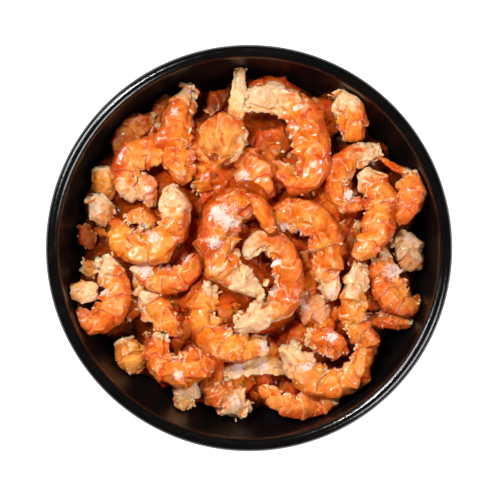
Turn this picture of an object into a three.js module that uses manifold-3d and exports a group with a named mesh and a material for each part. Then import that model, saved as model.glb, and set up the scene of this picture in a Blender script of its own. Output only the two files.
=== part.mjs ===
// A small round bowl of black glazed ceramic, heaped with dried shrimp tails.
// Millimetres, +Z up. The origin is on the axis of the bowl, in the plane that its foot stands on.

import * as THREE from 'three';
import { mergeVertices } from 'three/addons/utils/BufferGeometryUtils.js';
import Module from 'manifold-3d';

const wasm = await Module();
wasm.setup();

// Bowl: its wall lies between two half ellipses turned about the axis, under a rounded lip
const RIM_RADIUS = 55;
const BOWL_HEIGHT = 45;
const LIP_THICKNESS = 3.7;
const LIP_CENTRE_HEIGHT = BOWL_HEIGHT - LIP_THICKNESS / 2;
const FLOOR_THICKNESS = 5;
const FLOOR_RECESS = 2.5;
const FOOT_RADIUS = 25;
const FOOT_WIDTH = 3.5;
const FOOT_FLARE = 0.8;
const OUTSIDE_DEPTH = 41.5;
const INSIDE_RADIUS = RIM_RADIUS - LIP_THICKNESS;
const INSIDE_DEPTH = LIP_CENTRE_HEIGHT - FLOOR_RECESS - FLOOR_THICKNESS;
const BOWL_SIDES = 48;
const WALL_STEPS = 8;
const LIP_STEPS = 6;

// Heap: its lowest level is a dome that falls towards the wall, and the others lie a step apart above it
const CLEARANCE = 0.45;
const DOME_TOP = 30;
const DOME_FALL = 7;
const DOME_EDGE = 45;
const LEVEL_STEP = 4;
const SPACE_ABOVE = 20;
const ROOM_SIDES = 36;

// Core: it fills the bowl a little above the dome in the middle and up to it near the wall, and
// rises under each piece until it meets it
const CORE_RISE = 5.5;
const RISE_START = 33;
const RISE_END = 45;
const CORE_CELLS = 26;
const CORE_REACH = 0.9;
const SHORTEST_REACH = 2.6;
const CORE_SUNK = 0.35;
const LINE_SAMPLES = 16;

// A shrimp lies on its side, so it is less high than it is wide
const BODY_FLATNESS = 0.82;
const FLAP_FLATNESS = 0.42;
const TAIL_NARROWING = 0.42;
const TAIL_START = 0.5;
const END_ROUNDNESS = 0.35;
const SHRIMP_SIDES = 8;
const SLIM_SIDES = 6;
const SLIM_WIDTH = 12;
const RING_SPACING = 4.6;
const FEWEST_RINGS = 5;
const MOST_RINGS = 11;

// Vertices closer than this are one, and a sphere's ring smaller than this is its pole
const MERGE_DISTANCE = 1e-4;
const SMALLEST_RING = 1e-6;

// The plan grid: whole steps to the right and to the front, with the rim 201.75 steps from the centre
const PLAN_CENTRE = [249.5, 247.5];
const PLAN_RIM = 201.75;
const PLAN_STEP = RIM_RADIUS / PLAN_RIM;

// Each piece: its widest width, and its middle line from the head end to the tail end, on the plan
// grid, with the level of each point above the dome
const CURLED_TAILS = {
  inner_round: [34, [250, 150, 1.2], [272, 140, 1.2], [296, 147, 1.2]],
  left_of_spike: [23, [212, 113, 1.2], [221, 101, 1.2], [233, 92, 1.2]],
  behind_top: [22, [250, 91, 2], [275, 85, 2], [299, 93, 2]],
  behind_right: [26, [312, 104, 1.8], [325, 114, 1.8], [336, 133, 1.8]],
  mid_right: [24, [319, 184, 1.8], [329, 200, 1.8], [336, 220, 1.8]],
  under_right: [20, [339, 224, 1.6], [346, 240, 1.6], [347, 258, 1.6]],
  dark_band: [23, [209, 278, 1.9], [196, 296, 1.9], [185, 312, 1.9]],
  under_ring: [26, [224, 320, 2], [230, 300, 2], [246, 294, 2]],
  under_front: [26, [298, 331, 1.6], [316, 327, 1.6], [334, 314, 1.6]],
  under_arc: [20, [305, 252, 1.8], [310, 276, 1.8], [310, 300, 1.8]],
  far_left_dark: [16, [83, 226, 2], [86, 237, 2], [92, 248, 1.8]],
  far_right_dark: [16, [401, 272, 1.4], [404, 285, 1.4], [402, 299, 1.4]],
  front_gap: [28, [262, 342, 1.4], [275, 355, 1.4], [283, 372, 1.4]],
  front_low: [22, [281, 396, 1.2], [292, 387, 1.2], [300, 376, 1.2]],
  under_centre: [24, [224, 238, 2.2], [245, 237, 2.2], [266, 228, 2.2]],
  left_gap: [22, [127, 313, 1.7], [136, 305, 1.7], [143, 291, 1.7]],
  arch_behind: [33, [156, 120, 2.1], [134, 129, 2.1], [121, 158, 2.1]],
  sliver_left: [15, [167, 95, 2], [158, 113, 2], [154, 133, 1.6]],
  under_lobe: [22, [194, 132, 1.8], [200, 152, 1.8], [228, 158, 1.6]],
  centre_top: [34, [236, 157, 1.8], [258, 174, 2.2], [265, 204, 1.9]],
  centre_top_left: [28, [197, 182, 1.8], [213, 186, 1.8], [229, 199, 1.7]],
  bottom_left_grey: [35, [243, 411, 1.7], [225, 395, 1.7], [208, 376, 1.7]],
  tan_front_left: [29, [124, 338, 1.9], [130, 354, 1.9], [142, 370, 1.7]],
  diagonal: [28, [139, 293, 2], [162, 313, 2.2], [184, 333, 2]],
  bottom_arc: [24, [336, 397, 2.8], [314, 407, 2.9], [290, 406, 2.7], [260, 387, 2.1]],
  pink_front: [26, [309, 334, 2], [327, 340, 2.2], [348, 353, 2]],
  arch_left: [31, [168, 152, 2.6], [146, 151, 2.7], [128, 164, 2.7], [127, 187, 2.6], [136, 200, 2.3]],
  pink_patch: [24, [141, 178, 2.2], [148, 190, 2.3], [153, 205, 2.2]],
  pale_cup: [26, [138, 264, 2.4], [161, 280, 2.4], [185, 275, 2.6], [199, 255, 2.4]],
  right_ragged: [32, [380, 255, 2.3], [385, 280, 2.5], [398, 301, 2.7], [425, 308, 3]],
  right_point: [16, [366, 318, 1.7], [390, 321, 2.3], [416, 321, 2.9]],
  far_right: [29, [414, 172, 3.7], [412, 194, 3.6], [397, 222, 2.8]],
  far_right_tip: [8, [411, 173, 3.8], [398, 169, 3.4], [380, 157, 3]],
  upper_left: [32, [190, 88, 2.6], [181, 112, 2.8], [175, 140, 2.8], [181, 168, 2.5], [189, 180, 2.2]],
  left_curl: [29, [104, 258, 3.1], [116, 281, 3.1], [116, 305, 3.2], [104, 321, 3.4],
    [88, 322, 3.6], [78, 309, 3.8]],
  left_front: [29, [163, 337, 2.6], [157, 358, 2.8], [173, 370, 3], [195, 366, 3], [216, 351, 2.4]],
  lower_middle: [29, [212, 286, 3], [203, 306, 3], [206, 328, 3], [222, 343, 3],
    [245, 347, 2.8], [267, 345, 2.4]],
  lower_right: [29, [290, 345, 3], [301, 367, 3], [320, 382, 3], [343, 383, 3],
    [360, 369, 3], [365, 347, 2.6]],
  column: [26, [358, 265, 3], [354, 294, 3], [351, 323, 2.8]],
  column_foot: [25, [349, 322, 2.6], [363, 331, 2.6], [373, 353, 2.2]],
  top_upright: [31, [341, 91, 3.6], [352, 114, 3.2], [354, 140, 2.5]],
  hook: [24, [380, 150, 3], [355, 156, 3.1], [338, 172, 3], [336, 191, 3],
    [348, 203, 2.8], [366, 206, 2.6]],
  long_right: [31, [363, 170, 2.7], [378, 191, 3], [382, 216, 3.2], [373, 240, 3.2], [354, 258, 3]],
  top_curl: [33, [246, 101, 2.8], [276, 97, 3], [303, 116, 3.2], [315, 152, 3.1],
    [303, 183, 2.7], [270, 163, 1.8]],
  right_arc: [33, [270, 221, 2.8], [296, 212, 3], [318, 221, 3.2], [328, 246, 3.2],
    [327, 274, 3], [332, 299, 2.7]],
  ring: [29, [237, 324, 3.2], [264, 314, 3.2], [284, 297, 3.2], [290, 271, 3.2],
    [281, 249, 3], [262, 240, 3], [244, 256, 3.2]],
  centre: [37, [262, 291, 3.6], [243, 282, 3.9], [224, 264, 4.1], [217, 239, 4.2],
    [227, 212, 4.2], [250, 199, 4.2]],
  centre_tail: [18, [247, 197, 4.2], [262, 208, 4.2], [273, 232, 4.2]],
};

const CHUNKS = {
  big_left: [29, [169, 188, 3], [178, 213, 3.2], [169, 239, 3.2], [147, 251, 3],
    [127, 244, 2.8], [115, 228, 2.6]],
  round_end: [26, [103, 166, 2.8], [105, 180, 2.4], [109, 196, 1.4]],
  cream_nub: [23, [98, 290, 3.2], [84, 290, 3.5], [71, 290, 3.8]],
  brown_nub: [17, [83, 265, 2.2], [90, 268, 2.2], [98, 273, 2.2]],
  front_nub: [24, [189, 378, 2.1], [185, 394, 2], [183, 408, 2]],
  pink_chunk: [26, [298, 299, 2], [311, 309, 2.1], [326, 317, 1.9]],
  red_bit: [15, [149, 333, 1.4], [152, 343, 1.4], [157, 353, 1.4]],
  right_grey: [29, [396, 236, 2], [410, 250, 2.2], [414, 269, 2]],
  lobe: [46, [241, 146, 3], [225, 138, 3.1], [203, 138, 2.6]],
  left_frays: [15, [128, 219, 3], [141, 214, 3.1], [156, 224, 3]],
  left_frays_low: [12, [138, 234, 2.8], [147, 226, 2.9], [159, 233, 2.8]],
  frayed: [11, [284, 145, 1.2], [290, 155, 1.2], [294, 168, 1.2]],
};

const FLAPS = {
  spike: [17, [241, 68, 3], [239, 95, 3], [237, 121, 2.6]],
  left_flake: [28, [95, 199, 2.5], [100, 209, 2.3], [107, 222, 1.8]],
  white_flap: [20, [226, 373, 2], [250, 364, 2.2], [285, 366, 2]],
  tan_flake: [12, [138, 276, 2], [138, 283, 2], [139, 291, 2]],
  leaf: [11, [359, 222, 2.2], [353, 235, 2.2], [347, 250, 1.8]],
  inner_sliver: [8, [260, 252, 2], [260, 268, 2], [260, 285, 2]],
};

const BLACK_GLAZE = { color: 0x16120f, roughness: 0.28, metalness: 0 };
const DRIED_SHRIMP = { color: 0xe07a35, roughness: 0.5, metalness: 0 };

// A point of a half ellipse that hangs from the middle of the lip, at an angle up from its lowest point
function ellipsePoint(radius, depth, angle) {
  return new THREE.Vector2(radius * Math.sin(angle), LIP_CENTRE_HEIGHT - depth * Math.cos(angle));
}

// Outline of the bowl, from the axis under the floor, out, up and over the lip, and down inside
function bowlProfile() {
  const points = [];
  const footInner = FOOT_RADIUS - FOOT_WIDTH;
  points.push(new THREE.Vector2(0, FLOOR_RECESS));
  points.push(new THREE.Vector2(footInner - FOOT_FLARE, FLOOR_RECESS));
  points.push(new THREE.Vector2(footInner, 0));
  points.push(new THREE.Vector2(FOOT_RADIUS, 0));

  // Outer wall, from the top of the foot to the side of the lip
  const footTop = Math.asin((FOOT_RADIUS + FOOT_FLARE) / RIM_RADIUS);
  for (let i = 0; i < WALL_STEPS; i++) {
    const angle = footTop + (i / WALL_STEPS) * (Math.PI / 2 - footTop);
    points.push(ellipsePoint(RIM_RADIUS, OUTSIDE_DEPTH, angle));
  }

  // Lip: half a circle from the outer wall to the inner one
  const lipRadius = LIP_THICKNESS / 2;
  for (let i = 0; i <= LIP_STEPS; i++) {
    const angle = (i / LIP_STEPS) * Math.PI;
    const radius = RIM_RADIUS - lipRadius + lipRadius * Math.cos(angle);
    points.push(new THREE.Vector2(radius, LIP_CENTRE_HEIGHT + lipRadius * Math.sin(angle)));
  }

  // Inside, down to the axis
  for (let i = WALL_STEPS - 1; i >= 0; i--) {
    points.push(ellipsePoint(INSIDE_RADIUS, INSIDE_DEPTH, (i / WALL_STEPS) * Math.PI / 2));
  }
  return points;
}

// A lathe turns about +Y, and the bowl stands along +Z
function turned(profile, sides) {
  const geometry = new THREE.LatheGeometry(profile, sides);
  geometry.rotateX(Math.PI / 2);
  return geometry;
}

// Height of the lowest level at a distance from the axis
function domeHeight(distance) {
  return DOME_TOP - DOME_FALL * (distance / DOME_EDGE) ** 2;
}

// Height of the core between the pieces: above the dome in the middle, and down on it near the wall
function coreHeight(distance) {
  const fallen = THREE.MathUtils.smoothstep(distance, RISE_START, RISE_END);
  return domeHeight(distance) + CORE_RISE * (1 - fallen);
}

// The room for the heap: the inside of the bowl less the clearance, and open above the lip
function roomProfile() {
  const radius = INSIDE_RADIUS - CLEARANCE;
  const depth = INSIDE_DEPTH - CLEARANCE;
  const points = [];
  for (let i = 0; i <= WALL_STEPS; i++) {
    points.push(ellipsePoint(radius, depth, (i / WALL_STEPS) * Math.PI / 2));
  }
  points.push(new THREE.Vector2(radius, LIP_CENTRE_HEIGHT + SPACE_ABOVE));
  points.push(new THREE.Vector2(0, LIP_CENTRE_HEIGHT + SPACE_ABOVE));
  return points;
}

// The core, square in plan: the room trims it. A point of its top that is within reach of a piece's
// middle line rises to a little under that line.
function coreGeometry(pieces) {
  const lines = pieces.map(({ width, points, flatness }) => {
    const half = (width / 2) * PLAN_STEP;
    const line = middleLine(points).getSpacedPoints(LINE_SAMPLES);
    return { line, reach: Math.max(SHORTEST_REACH, CORE_REACH * half), sink: CORE_SUNK * half * flatness };
  });
  const span = 2 * INSIDE_RADIUS;
  const geometry = new THREE.BoxGeometry(span, span, 1, CORE_CELLS, CORE_CELLS, 1);
  const position = geometry.attributes.position;
  for (let i = 0; i < position.count; i++) {
    if (position.getZ(i) < 0) {
      position.setZ(i, 0);
      continue;
    }
    const x = position.getX(i);
    const y = position.getY(i);
    let height = coreHeight(Math.hypot(x, y));
    for (const { line, reach, sink } of lines) {
      for (const point of line) {
        if (Math.hypot(point.x - x, point.y - y) < reach) height = Math.max(height, point.z - sink);
      }
    }
    position.setZ(i, height);
  }
  return geometry;
}

// A closed solid from a closed geometry
function solid(geometry) {
  const bare = geometry.index ? geometry.toNonIndexed() : geometry.clone();
  bare.deleteAttribute('normal');
  bare.deleteAttribute('uv');
  const merged = mergeVertices(bare, MERGE_DISTANCE);
  return new wasm.Manifold(new wasm.Mesh({
    numProp: 3,
    vertProperties: new Float32Array(merged.attributes.position.array),
    triVerts: new Uint32Array(merged.index.array),
  }));
}

// The middle line of a piece, a smooth curve through its points
function middleLine(points) {
  return new THREE.CatmullRomCurve3(points.map(([across, front, level]) => {
    const x = (across - PLAN_CENTRE[0]) * PLAN_STEP;
    const y = (PLAN_CENTRE[1] - front) * PLAN_STEP;
    return new THREE.Vector3(x, y, domeHeight(Math.hypot(x, y)) + level * LEVEL_STEP);
  }), false, 'centripetal');
}

// Share of the full width along a curled tail, which narrows towards its tail end
function tailTaper(along) {
  const past = Math.max(0, (along - TAIL_START) / (1 - TAIL_START));
  return 1 - TAIL_NARROWING * past * past;
}

// A piece: a sphere's rings set along a curve, from its head end to its tail end
function bentBody({ width, points, flatness, taper }) {
  const curve = middleLine(points);
  const fullWidth = width * PLAN_STEP;
  const rings = Math.max(FEWEST_RINGS, Math.round(curve.getLength() / RING_SPACING) + 2);
  const sides = width < SLIM_WIDTH ? SLIM_SIDES : SHRIMP_SIDES;
  const geometry = new THREE.SphereGeometry(1, sides, Math.min(MOST_RINGS, rings));
  const position = geometry.attributes.position;
  const up = new THREE.Vector3(0, 0, 1);
  const vertex = new THREE.Vector3();
  for (let i = 0; i < position.count; i++) {
    vertex.fromBufferAttribute(position, i);
    const along = (1 - THREE.MathUtils.clamp(vertex.y, -1, 1)) / 2;
    const ring = Math.hypot(vertex.x, vertex.z);
    const reach = ring > SMALLEST_RING ? (fullWidth / 2) * ring ** END_ROUNDNESS * taper(along) / ring : 0;
    const tangent = curve.getTangentAt(along);
    const side = new THREE.Vector3().crossVectors(up, tangent).normalize();
    const top = new THREE.Vector3().crossVectors(tangent, side);
    const place = curve.getPointAt(along);
    place.addScaledVector(side, vertex.x * reach);
    place.addScaledVector(top, vertex.z * reach * flatness);
    position.setXYZ(i, place.x, place.y, place.z);
  }
  return solid(geometry);
}

// The pieces of a list, with the section and the taper that they share
function listed(list, flatness, taper) {
  return Object.values(list).map(([width, ...points]) => ({ width, points, flatness, taper }));
}

// The heap: the core and the pieces that show, in one solid with no sealed hollow and no loose scrap
function heapGeometry() {
  const pieces = [
    ...listed(CURLED_TAILS, BODY_FLATNESS, tailTaper),
    ...listed(CHUNKS, BODY_FLATNESS, () => 1),
    ...listed(FLAPS, FLAP_FLATNESS, () => 1),
  ];
  const core = solid(coreGeometry(pieces));
  const room = solid(turned(roomProfile(), ROOM_SIDES));
  const joined = wasm.Manifold.union([core, ...pieces.map(bentBody)]).intersect(room);
  const outer = joined.decompose().reduce((most, next) => (next.volume() > most.volume() ? next : most));
  const mesh = outer.getMesh();
  const geometry = new THREE.BufferGeometry();
  geometry.setAttribute('position', new THREE.BufferAttribute(mesh.vertProperties, mesh.numProp));
  geometry.setIndex(new THREE.BufferAttribute(mesh.triVerts, 1));
  geometry.computeVertexNormals();
  return geometry;
}

function namedMesh(name, geometry, finish) {
  const mesh = new THREE.Mesh(geometry, new THREE.MeshStandardMaterial(finish));
  mesh.name = name;
  return mesh;
}

const bowlOfDriedShrimp = new THREE.Group();
bowlOfDriedShrimp.add(namedMesh('bowl', turned(bowlProfile(), BOWL_SIDES), BLACK_GLAZE));
bowlOfDriedShrimp.add(namedMesh('shrimp_heap', heapGeometry(), DRIED_SHRIMP));

export default bowlOfDriedShrimp;
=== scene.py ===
"""Looks of a small black glazed bowl heaped with dried shrimp tails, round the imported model."""

import itertools
import logging
import math
from dataclasses import dataclass
from enum import Enum

import bpy
import numpy as np
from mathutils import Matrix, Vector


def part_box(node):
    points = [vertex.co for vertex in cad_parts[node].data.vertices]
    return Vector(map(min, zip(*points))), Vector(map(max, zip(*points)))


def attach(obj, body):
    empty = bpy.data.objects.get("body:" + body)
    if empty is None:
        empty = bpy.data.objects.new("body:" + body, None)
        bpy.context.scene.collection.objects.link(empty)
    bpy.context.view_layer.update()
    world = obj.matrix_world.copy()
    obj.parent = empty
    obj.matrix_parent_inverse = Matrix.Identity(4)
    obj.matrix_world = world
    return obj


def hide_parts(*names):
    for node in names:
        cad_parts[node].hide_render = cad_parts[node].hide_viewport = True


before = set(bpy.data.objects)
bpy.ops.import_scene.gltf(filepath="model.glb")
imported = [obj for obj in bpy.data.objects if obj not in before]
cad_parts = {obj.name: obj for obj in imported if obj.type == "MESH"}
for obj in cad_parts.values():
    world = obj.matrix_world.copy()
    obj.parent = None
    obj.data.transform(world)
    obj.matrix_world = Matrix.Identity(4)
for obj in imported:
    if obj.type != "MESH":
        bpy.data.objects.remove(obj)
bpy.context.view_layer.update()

LOG = logging.getLogger("bowl_of_dried_shrimp")
BODY = "root"
MM = 0.001

# The plan grid: whole steps to the right and to the front, with the rim 201.75 steps from the centre
PLAN_CENTRE = np.array([249.5, 247.5])
PLAN_RIM = 201.75
BOWL_LOW, BOWL_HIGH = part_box("bowl")
RIM_RADIUS = (BOWL_HIGH.x - BOWL_LOW.x) / 2 / MM
BOWL_HEIGHT = BOWL_HIGH.z / MM
PLAN_STEP = RIM_RADIUS / PLAN_RIM
HEAP_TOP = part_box("shrimp_heap")[1].z / MM
TOP_PRESS = 0.5

# The bowl's section in millimetres, as two half ellipses under a round lip
LIP_THICKNESS = 3.7
LIP_CENTRE_HEIGHT = BOWL_HEIGHT - LIP_THICKNESS / 2
FLOOR_THICKNESS = 5.0
FLOOR_RECESS = 2.5
FOOT_RADIUS = 25.0
FOOT_WIDTH = 3.5
FOOT_FLARE = 0.8
OUTSIDE_DEPTH = 41.5
INSIDE_RADIUS = RIM_RADIUS - LIP_THICKNESS
INSIDE_DEPTH = LIP_CENTRE_HEIGHT - FLOOR_RECESS - FLOOR_THICKNESS

# The heap: its lowest level is a dome that falls towards the wall, and the others lie a step apart
CLEARANCE = 0.45
ABOVE_FLOOR = 0.05
DOME_TOP = 30.0
DOME_FALL = 7.0
DOME_EDGE = 45.0
LEVEL_STEP = 4.0
RISE_START = 33.0
RISE_END = 45.0

BODY_FLATNESS = 0.82
FLAP_FLATNESS = 0.42
END_ROUNDNESS = 0.175
FACETING = 0.9
FULL_HALF_WIDTH = 3.6
SHORTEST_PLATE = 5.0
DRY_RIM = 0.9
BETWEEN_JOINTS = 0.4


def colour(code: int) -> tuple[float, float, float]:
    """Turns a screen colour such as 0xE07A35 into the linear light that a material takes.

    Args:
        code: red, green and blue, eight bits each.

    Returns:
        The three linear values.
    """
    shares = [(code >> shift & 255) / 255 for shift in (16, 8, 0)]
    return tuple(s / 12.92 if s <= 0.04045 else ((s + 0.055) / 1.055) ** 2.4 for s in shares)


class Shade(Enum):
    """The main colours of dried shrimp, from the brightest flesh to the dullest."""

    ORANGE = 0xE27004
    AMBER = 0xEC8612
    ROSY = 0xDC660C
    BROWN = 0xC05C04
    TAN = 0xE09C38
    CREAM = 0xF2C47C
    PALE = 0xEE9440
    PINK = 0xEAA880
    GREY = 0xE2B48C
    DARK = 0xB43E00
    # Painted shade: a dark brown for tails that lie in shade
    IN_PAINTED_SHADE = 0x7C3410


ROSE_BACK = np.array(colour(0xE06A2C))
# Painted shade at the sides and a painted glow on top, both also carrying random tone
SIDE_SHADE_AND_TONE_DEEPENING = np.array([0.72, 0.33, 0.06])
PEACH_GLOW_AND_TONE = np.array(colour(0xF4A648))
# Colour of the painted shade deep in the heap
PAINTED_SHADE_TINT = (0.80, 0.21, 0.03)


def smooth_step(low: float, high: float, value: np.ndarray) -> np.ndarray:
    """Rises from 0 at low to 1 at high along 3t² − 2t³, or falls where low is above high."""
    share = np.clip((value - low) / (high - low), 0, 1)
    return share * share * (3 - 2 * share)


def scatter(cells: np.ndarray, seed: int) -> np.ndarray:
    """Gives each whole-number cell a fixed random value from 0 to 1.

    The cell's three coordinates are multiplied by large odd numbers, mixed by exclusive or, and
    stirred by shifts and products.

    Args:
        cells: whole numbers, the last axis holding three coordinates.
        seed: which set of random values.

    Returns:
        One value for each cell.
    """
    x, y, z = (cells[..., i].astype(np.uint32) for i in range(3))
    mixed = x * np.uint32(0x8DA6B343) ^ y * np.uint32(0xD8163841) ^ z * np.uint32(0xCB1AB31F)
    mixed = mixed ^ np.uint32((seed * 0x9E3779B1) & 0xFFFFFFFF)
    mixed = (mixed ^ (mixed >> np.uint32(15))) * np.uint32(0x2C1B3C6D)
    mixed = (mixed ^ (mixed >> np.uint32(12))) * np.uint32(0x297A2D39)
    return (mixed ^ (mixed >> np.uint32(15))).astype(float) / 2**32


def soft_noise(points: np.ndarray, size: float, seed: int) -> np.ndarray:
    """Values from 0 to 1 that change smoothly over cells of one size.

    Each corner of the cell has a random value, and they are blended by 3t² − 2t³ of the place
    within the cell along each axis.

    Args:
        points: places, the last axis holding x, y and z.
        size: side of a cell, in the units of the points.
        seed: which set of random values.

    Returns:
        One value for each place.
    """
    scaled = points / size
    cell = np.floor(scaled).astype(np.int64)
    place = scaled - cell
    place = place * place * (3 - 2 * place)
    total = np.zeros(points.shape[:-1])
    for corner in itertools.product((0, 1), repeat=3):
        weight = np.prod(np.where(np.array(corner) == 1, place, 1 - place), axis=-1)
        total += weight * scatter(cell + np.array(corner), seed)
    return total


def layered_noise(points: np.ndarray, size: float, seed: int, layers: int = 3) -> np.ndarray:
    """Sums soft noise at halving sizes and halving weights, scaled back to 0 to 1.

    Args:
        points: places, the last axis holding x, y and z.
        size: side of a cell in the first layer, in the units of the points.
        seed: which set of random values.
        layers: how many sizes to sum.

    Returns:
        One value for each place.
    """
    weights = [0.5**i for i in range(layers)]
    parts = [w * soft_noise(points, size * w, seed + i) for i, w in enumerate(weights)]
    return sum(parts) / sum(weights)


def facets(points: np.ndarray, size: float, seed: int) -> np.ndarray:
    """Values from 0 to 1 that change evenly over flat faces and turn sharply at their edges.

    The corners of each cell have random values. The cell is cut into six tetrahedra by the order of
    its three coordinates, and the value is linear within each of them.

    Args:
        points: places, the last axis holding x, y and z.
        size: side of a cell, in the units of the points.
        seed: which set of random values.

    Returns:
        One value for each place.
    """
    scaled = points / size
    cell = np.floor(scaled).astype(np.int64)
    place = scaled - cell
    order = np.argsort(-place, axis=-1)
    corner = cell.copy()
    before = scatter(corner, seed)
    total = before.copy()
    for rank in range(3):
        axis = order[..., rank: rank + 1]
        np.put_along_axis(corner, axis, np.take_along_axis(corner, axis, -1) + 1, -1)
        value = scatter(corner, seed)
        total += (value - before) * np.take_along_axis(place, axis, -1)[..., 0]
        before = value
    return total


def pebbles(points: np.ndarray, size: float, seed: int) -> tuple[np.ndarray, np.ndarray]:
    """Distances, in cells, to the nearest and second nearest of one random spot in each cell.

    Args:
        points: places, the last axis holding x, y and z.
        size: side of a cell.
        seed: which set of random spots.

    Returns:
        The nearest and the second nearest distance of each place.
    """
    scaled = points / size
    cell = np.floor(scaled).astype(np.int64)
    near = np.full(points.shape[:-1], 9.0)
    second = near.copy()
    for step in itertools.product((-1, 0, 1), repeat=3):
        beside = cell + np.array(step)
        spot = beside + np.stack([scatter(beside, seed + axis) for axis in range(3)], axis=-1)
        distance = np.linalg.norm(scaled - spot, axis=-1)
        second = np.minimum(second, np.maximum(near, distance))
        near = np.minimum(near, distance)
    return near, second


def dome_height(distance: np.ndarray) -> np.ndarray:
    """Height of the lowest level: the dome's top less its fall times the squared share of its edge."""
    return DOME_TOP - DOME_FALL * (distance / DOME_EDGE) ** 2


def room_radius(height: np.ndarray) -> np.ndarray:
    """Largest distance from the axis inside the bowl, from the ellipse of its inner wall.

    Args:
        height: heights above the table, in millimetres.

    Returns:
        The wall's distance less the clearance: its radius times the root of 1 less the squared
        share of its depth.
    """
    radius = INSIDE_RADIUS - CLEARANCE
    share = np.clip((LIP_CENTRE_HEIGHT - height) / (INSIDE_DEPTH - CLEARANCE), 0, 1)
    return radius * np.sqrt(np.clip(1 - share * share, 0, 1))


def kept_inside(points: np.ndarray) -> np.ndarray:
    """Draws any point that would cross the bowl's wall in towards the axis, at its own height.

    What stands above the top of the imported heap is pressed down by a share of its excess.

    Args:
        points: places in millimetres, the last axis holding x, y and z.

    Returns:
        The places inside the bowl.
    """
    lowest = LIP_CENTRE_HEIGHT - (INSIDE_DEPTH - CLEARANCE) + ABOVE_FLOOR
    points = points.copy()
    excess = np.maximum(0, points[..., 2] - HEAP_TOP)
    points[..., 2] = np.maximum(points[..., 2] - TOP_PRESS * excess, lowest)
    distance = np.hypot(points[..., 0], points[..., 1])
    share = np.minimum(1, room_radius(points[..., 2]) / np.maximum(distance, 1e-6))
    points[..., :2] *= share[..., None]
    return points


def plan_points(rows: tuple) -> np.ndarray:
    """Places of a piece's middle line: its plan place, and its level's steps above the dome.

    Args:
        rows: across, front and level of each point.

    Returns:
        One row of x, y and z in millimetres for each point.
    """
    table = np.array(rows, float)
    x = (table[:, 0] - PLAN_CENTRE[0]) * PLAN_STEP
    y = (PLAN_CENTRE[1] - table[:, 1]) * PLAN_STEP
    z = dome_height(np.hypot(x, y)) + table[:, 2] * LEVEL_STEP
    return np.stack([x, y, z], axis=-1)


def smooth_line(knots: np.ndarray, count: int = 400) -> np.ndarray:
    """A curve through the knots: centripetal cubic pieces, whose slopes weigh each neighbour by the
    square root of its distance. Both ends are continued by a mirrored knot.

    Args:
        knots: the points to pass through, one row each.
        count: how many points to give.

    Returns:
        Points of the curve, evenly spread over its knots.
    """
    knots = np.vstack([2 * knots[0] - knots[1], knots, 2 * knots[-1] - knots[-2]])
    gaps = np.maximum(np.sqrt(np.linalg.norm(np.diff(knots, axis=0), axis=1)), 1e-4)
    spread = np.linspace(0, len(knots) - 3, count)
    first = np.minimum(spread.astype(int), len(knots) - 4)
    t = (spread - first)[:, None]
    p0, p1, p2, p3 = (knots[first + i] for i in range(4))
    g0, g1, g2 = (gaps[first + i][:, None] for i in range(3))
    start = ((p1 - p0) / g0 - (p2 - p0) / (g0 + g1) + (p2 - p1) / g1) * g1
    end = ((p2 - p1) / g1 - (p3 - p1) / (g1 + g2) + (p3 - p2) / g2) * g1
    square = -3 * p1 + 3 * p2 - 2 * start - end
    cube = 2 * p1 - 2 * p2 + start + end
    return p1 + start * t + square * t**2 + cube * t**3


@dataclass
class Line:
    """A middle line sampled by its length."""

    points: np.ndarray

    def __post_init__(self) -> None:
        """Measures the length up to each point."""
        steps = np.linalg.norm(np.diff(self.points, axis=0), axis=1)
        self.run = np.concatenate([[0.0], np.cumsum(steps)])
        self.length = float(self.run[-1])

    def at(self, along: np.ndarray) -> np.ndarray:
        """Points at shares of the length."""
        places = along * self.length
        return np.stack([np.interp(places, self.run, self.points[:, i]) for i in range(3)], axis=-1)

    def frames(self, along: np.ndarray) -> tuple[np.ndarray, np.ndarray, np.ndarray]:
        """Direction, level side and upper side of the line at shares of its length.

        The direction is the difference of two near points. The side is the upright times the
        direction, and the top is the direction times the side.

        Args:
            along: shares of the length.

        Returns:
            Three unit vectors for each share, as three arrays.
        """
        reach = 0.02
        ahead = self.at(np.clip(along + reach, 0, 1)) - self.at(np.clip(along - reach, 0, 1))
        forward = ahead / np.linalg.norm(ahead, axis=1, keepdims=True)
        side = np.cross(np.array([0.0, 0.0, 1.0]), forward)
        side /= np.linalg.norm(side, axis=1, keepdims=True)
        return forward, side, np.cross(forward, side)

    def turn(self) -> float:
        """How far the line turns to the left, seen from above.

        Returns:
            The angle in radians, negative for a turn to the right.
        """
        heading = np.diff(self.at(np.linspace(0, 1, 12))[:, :2], axis=0)
        angle = np.unwrap(np.arctan2(heading[:, 1], heading[:, 0]))
        return float(angle[-1] - angle[0])


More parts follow.
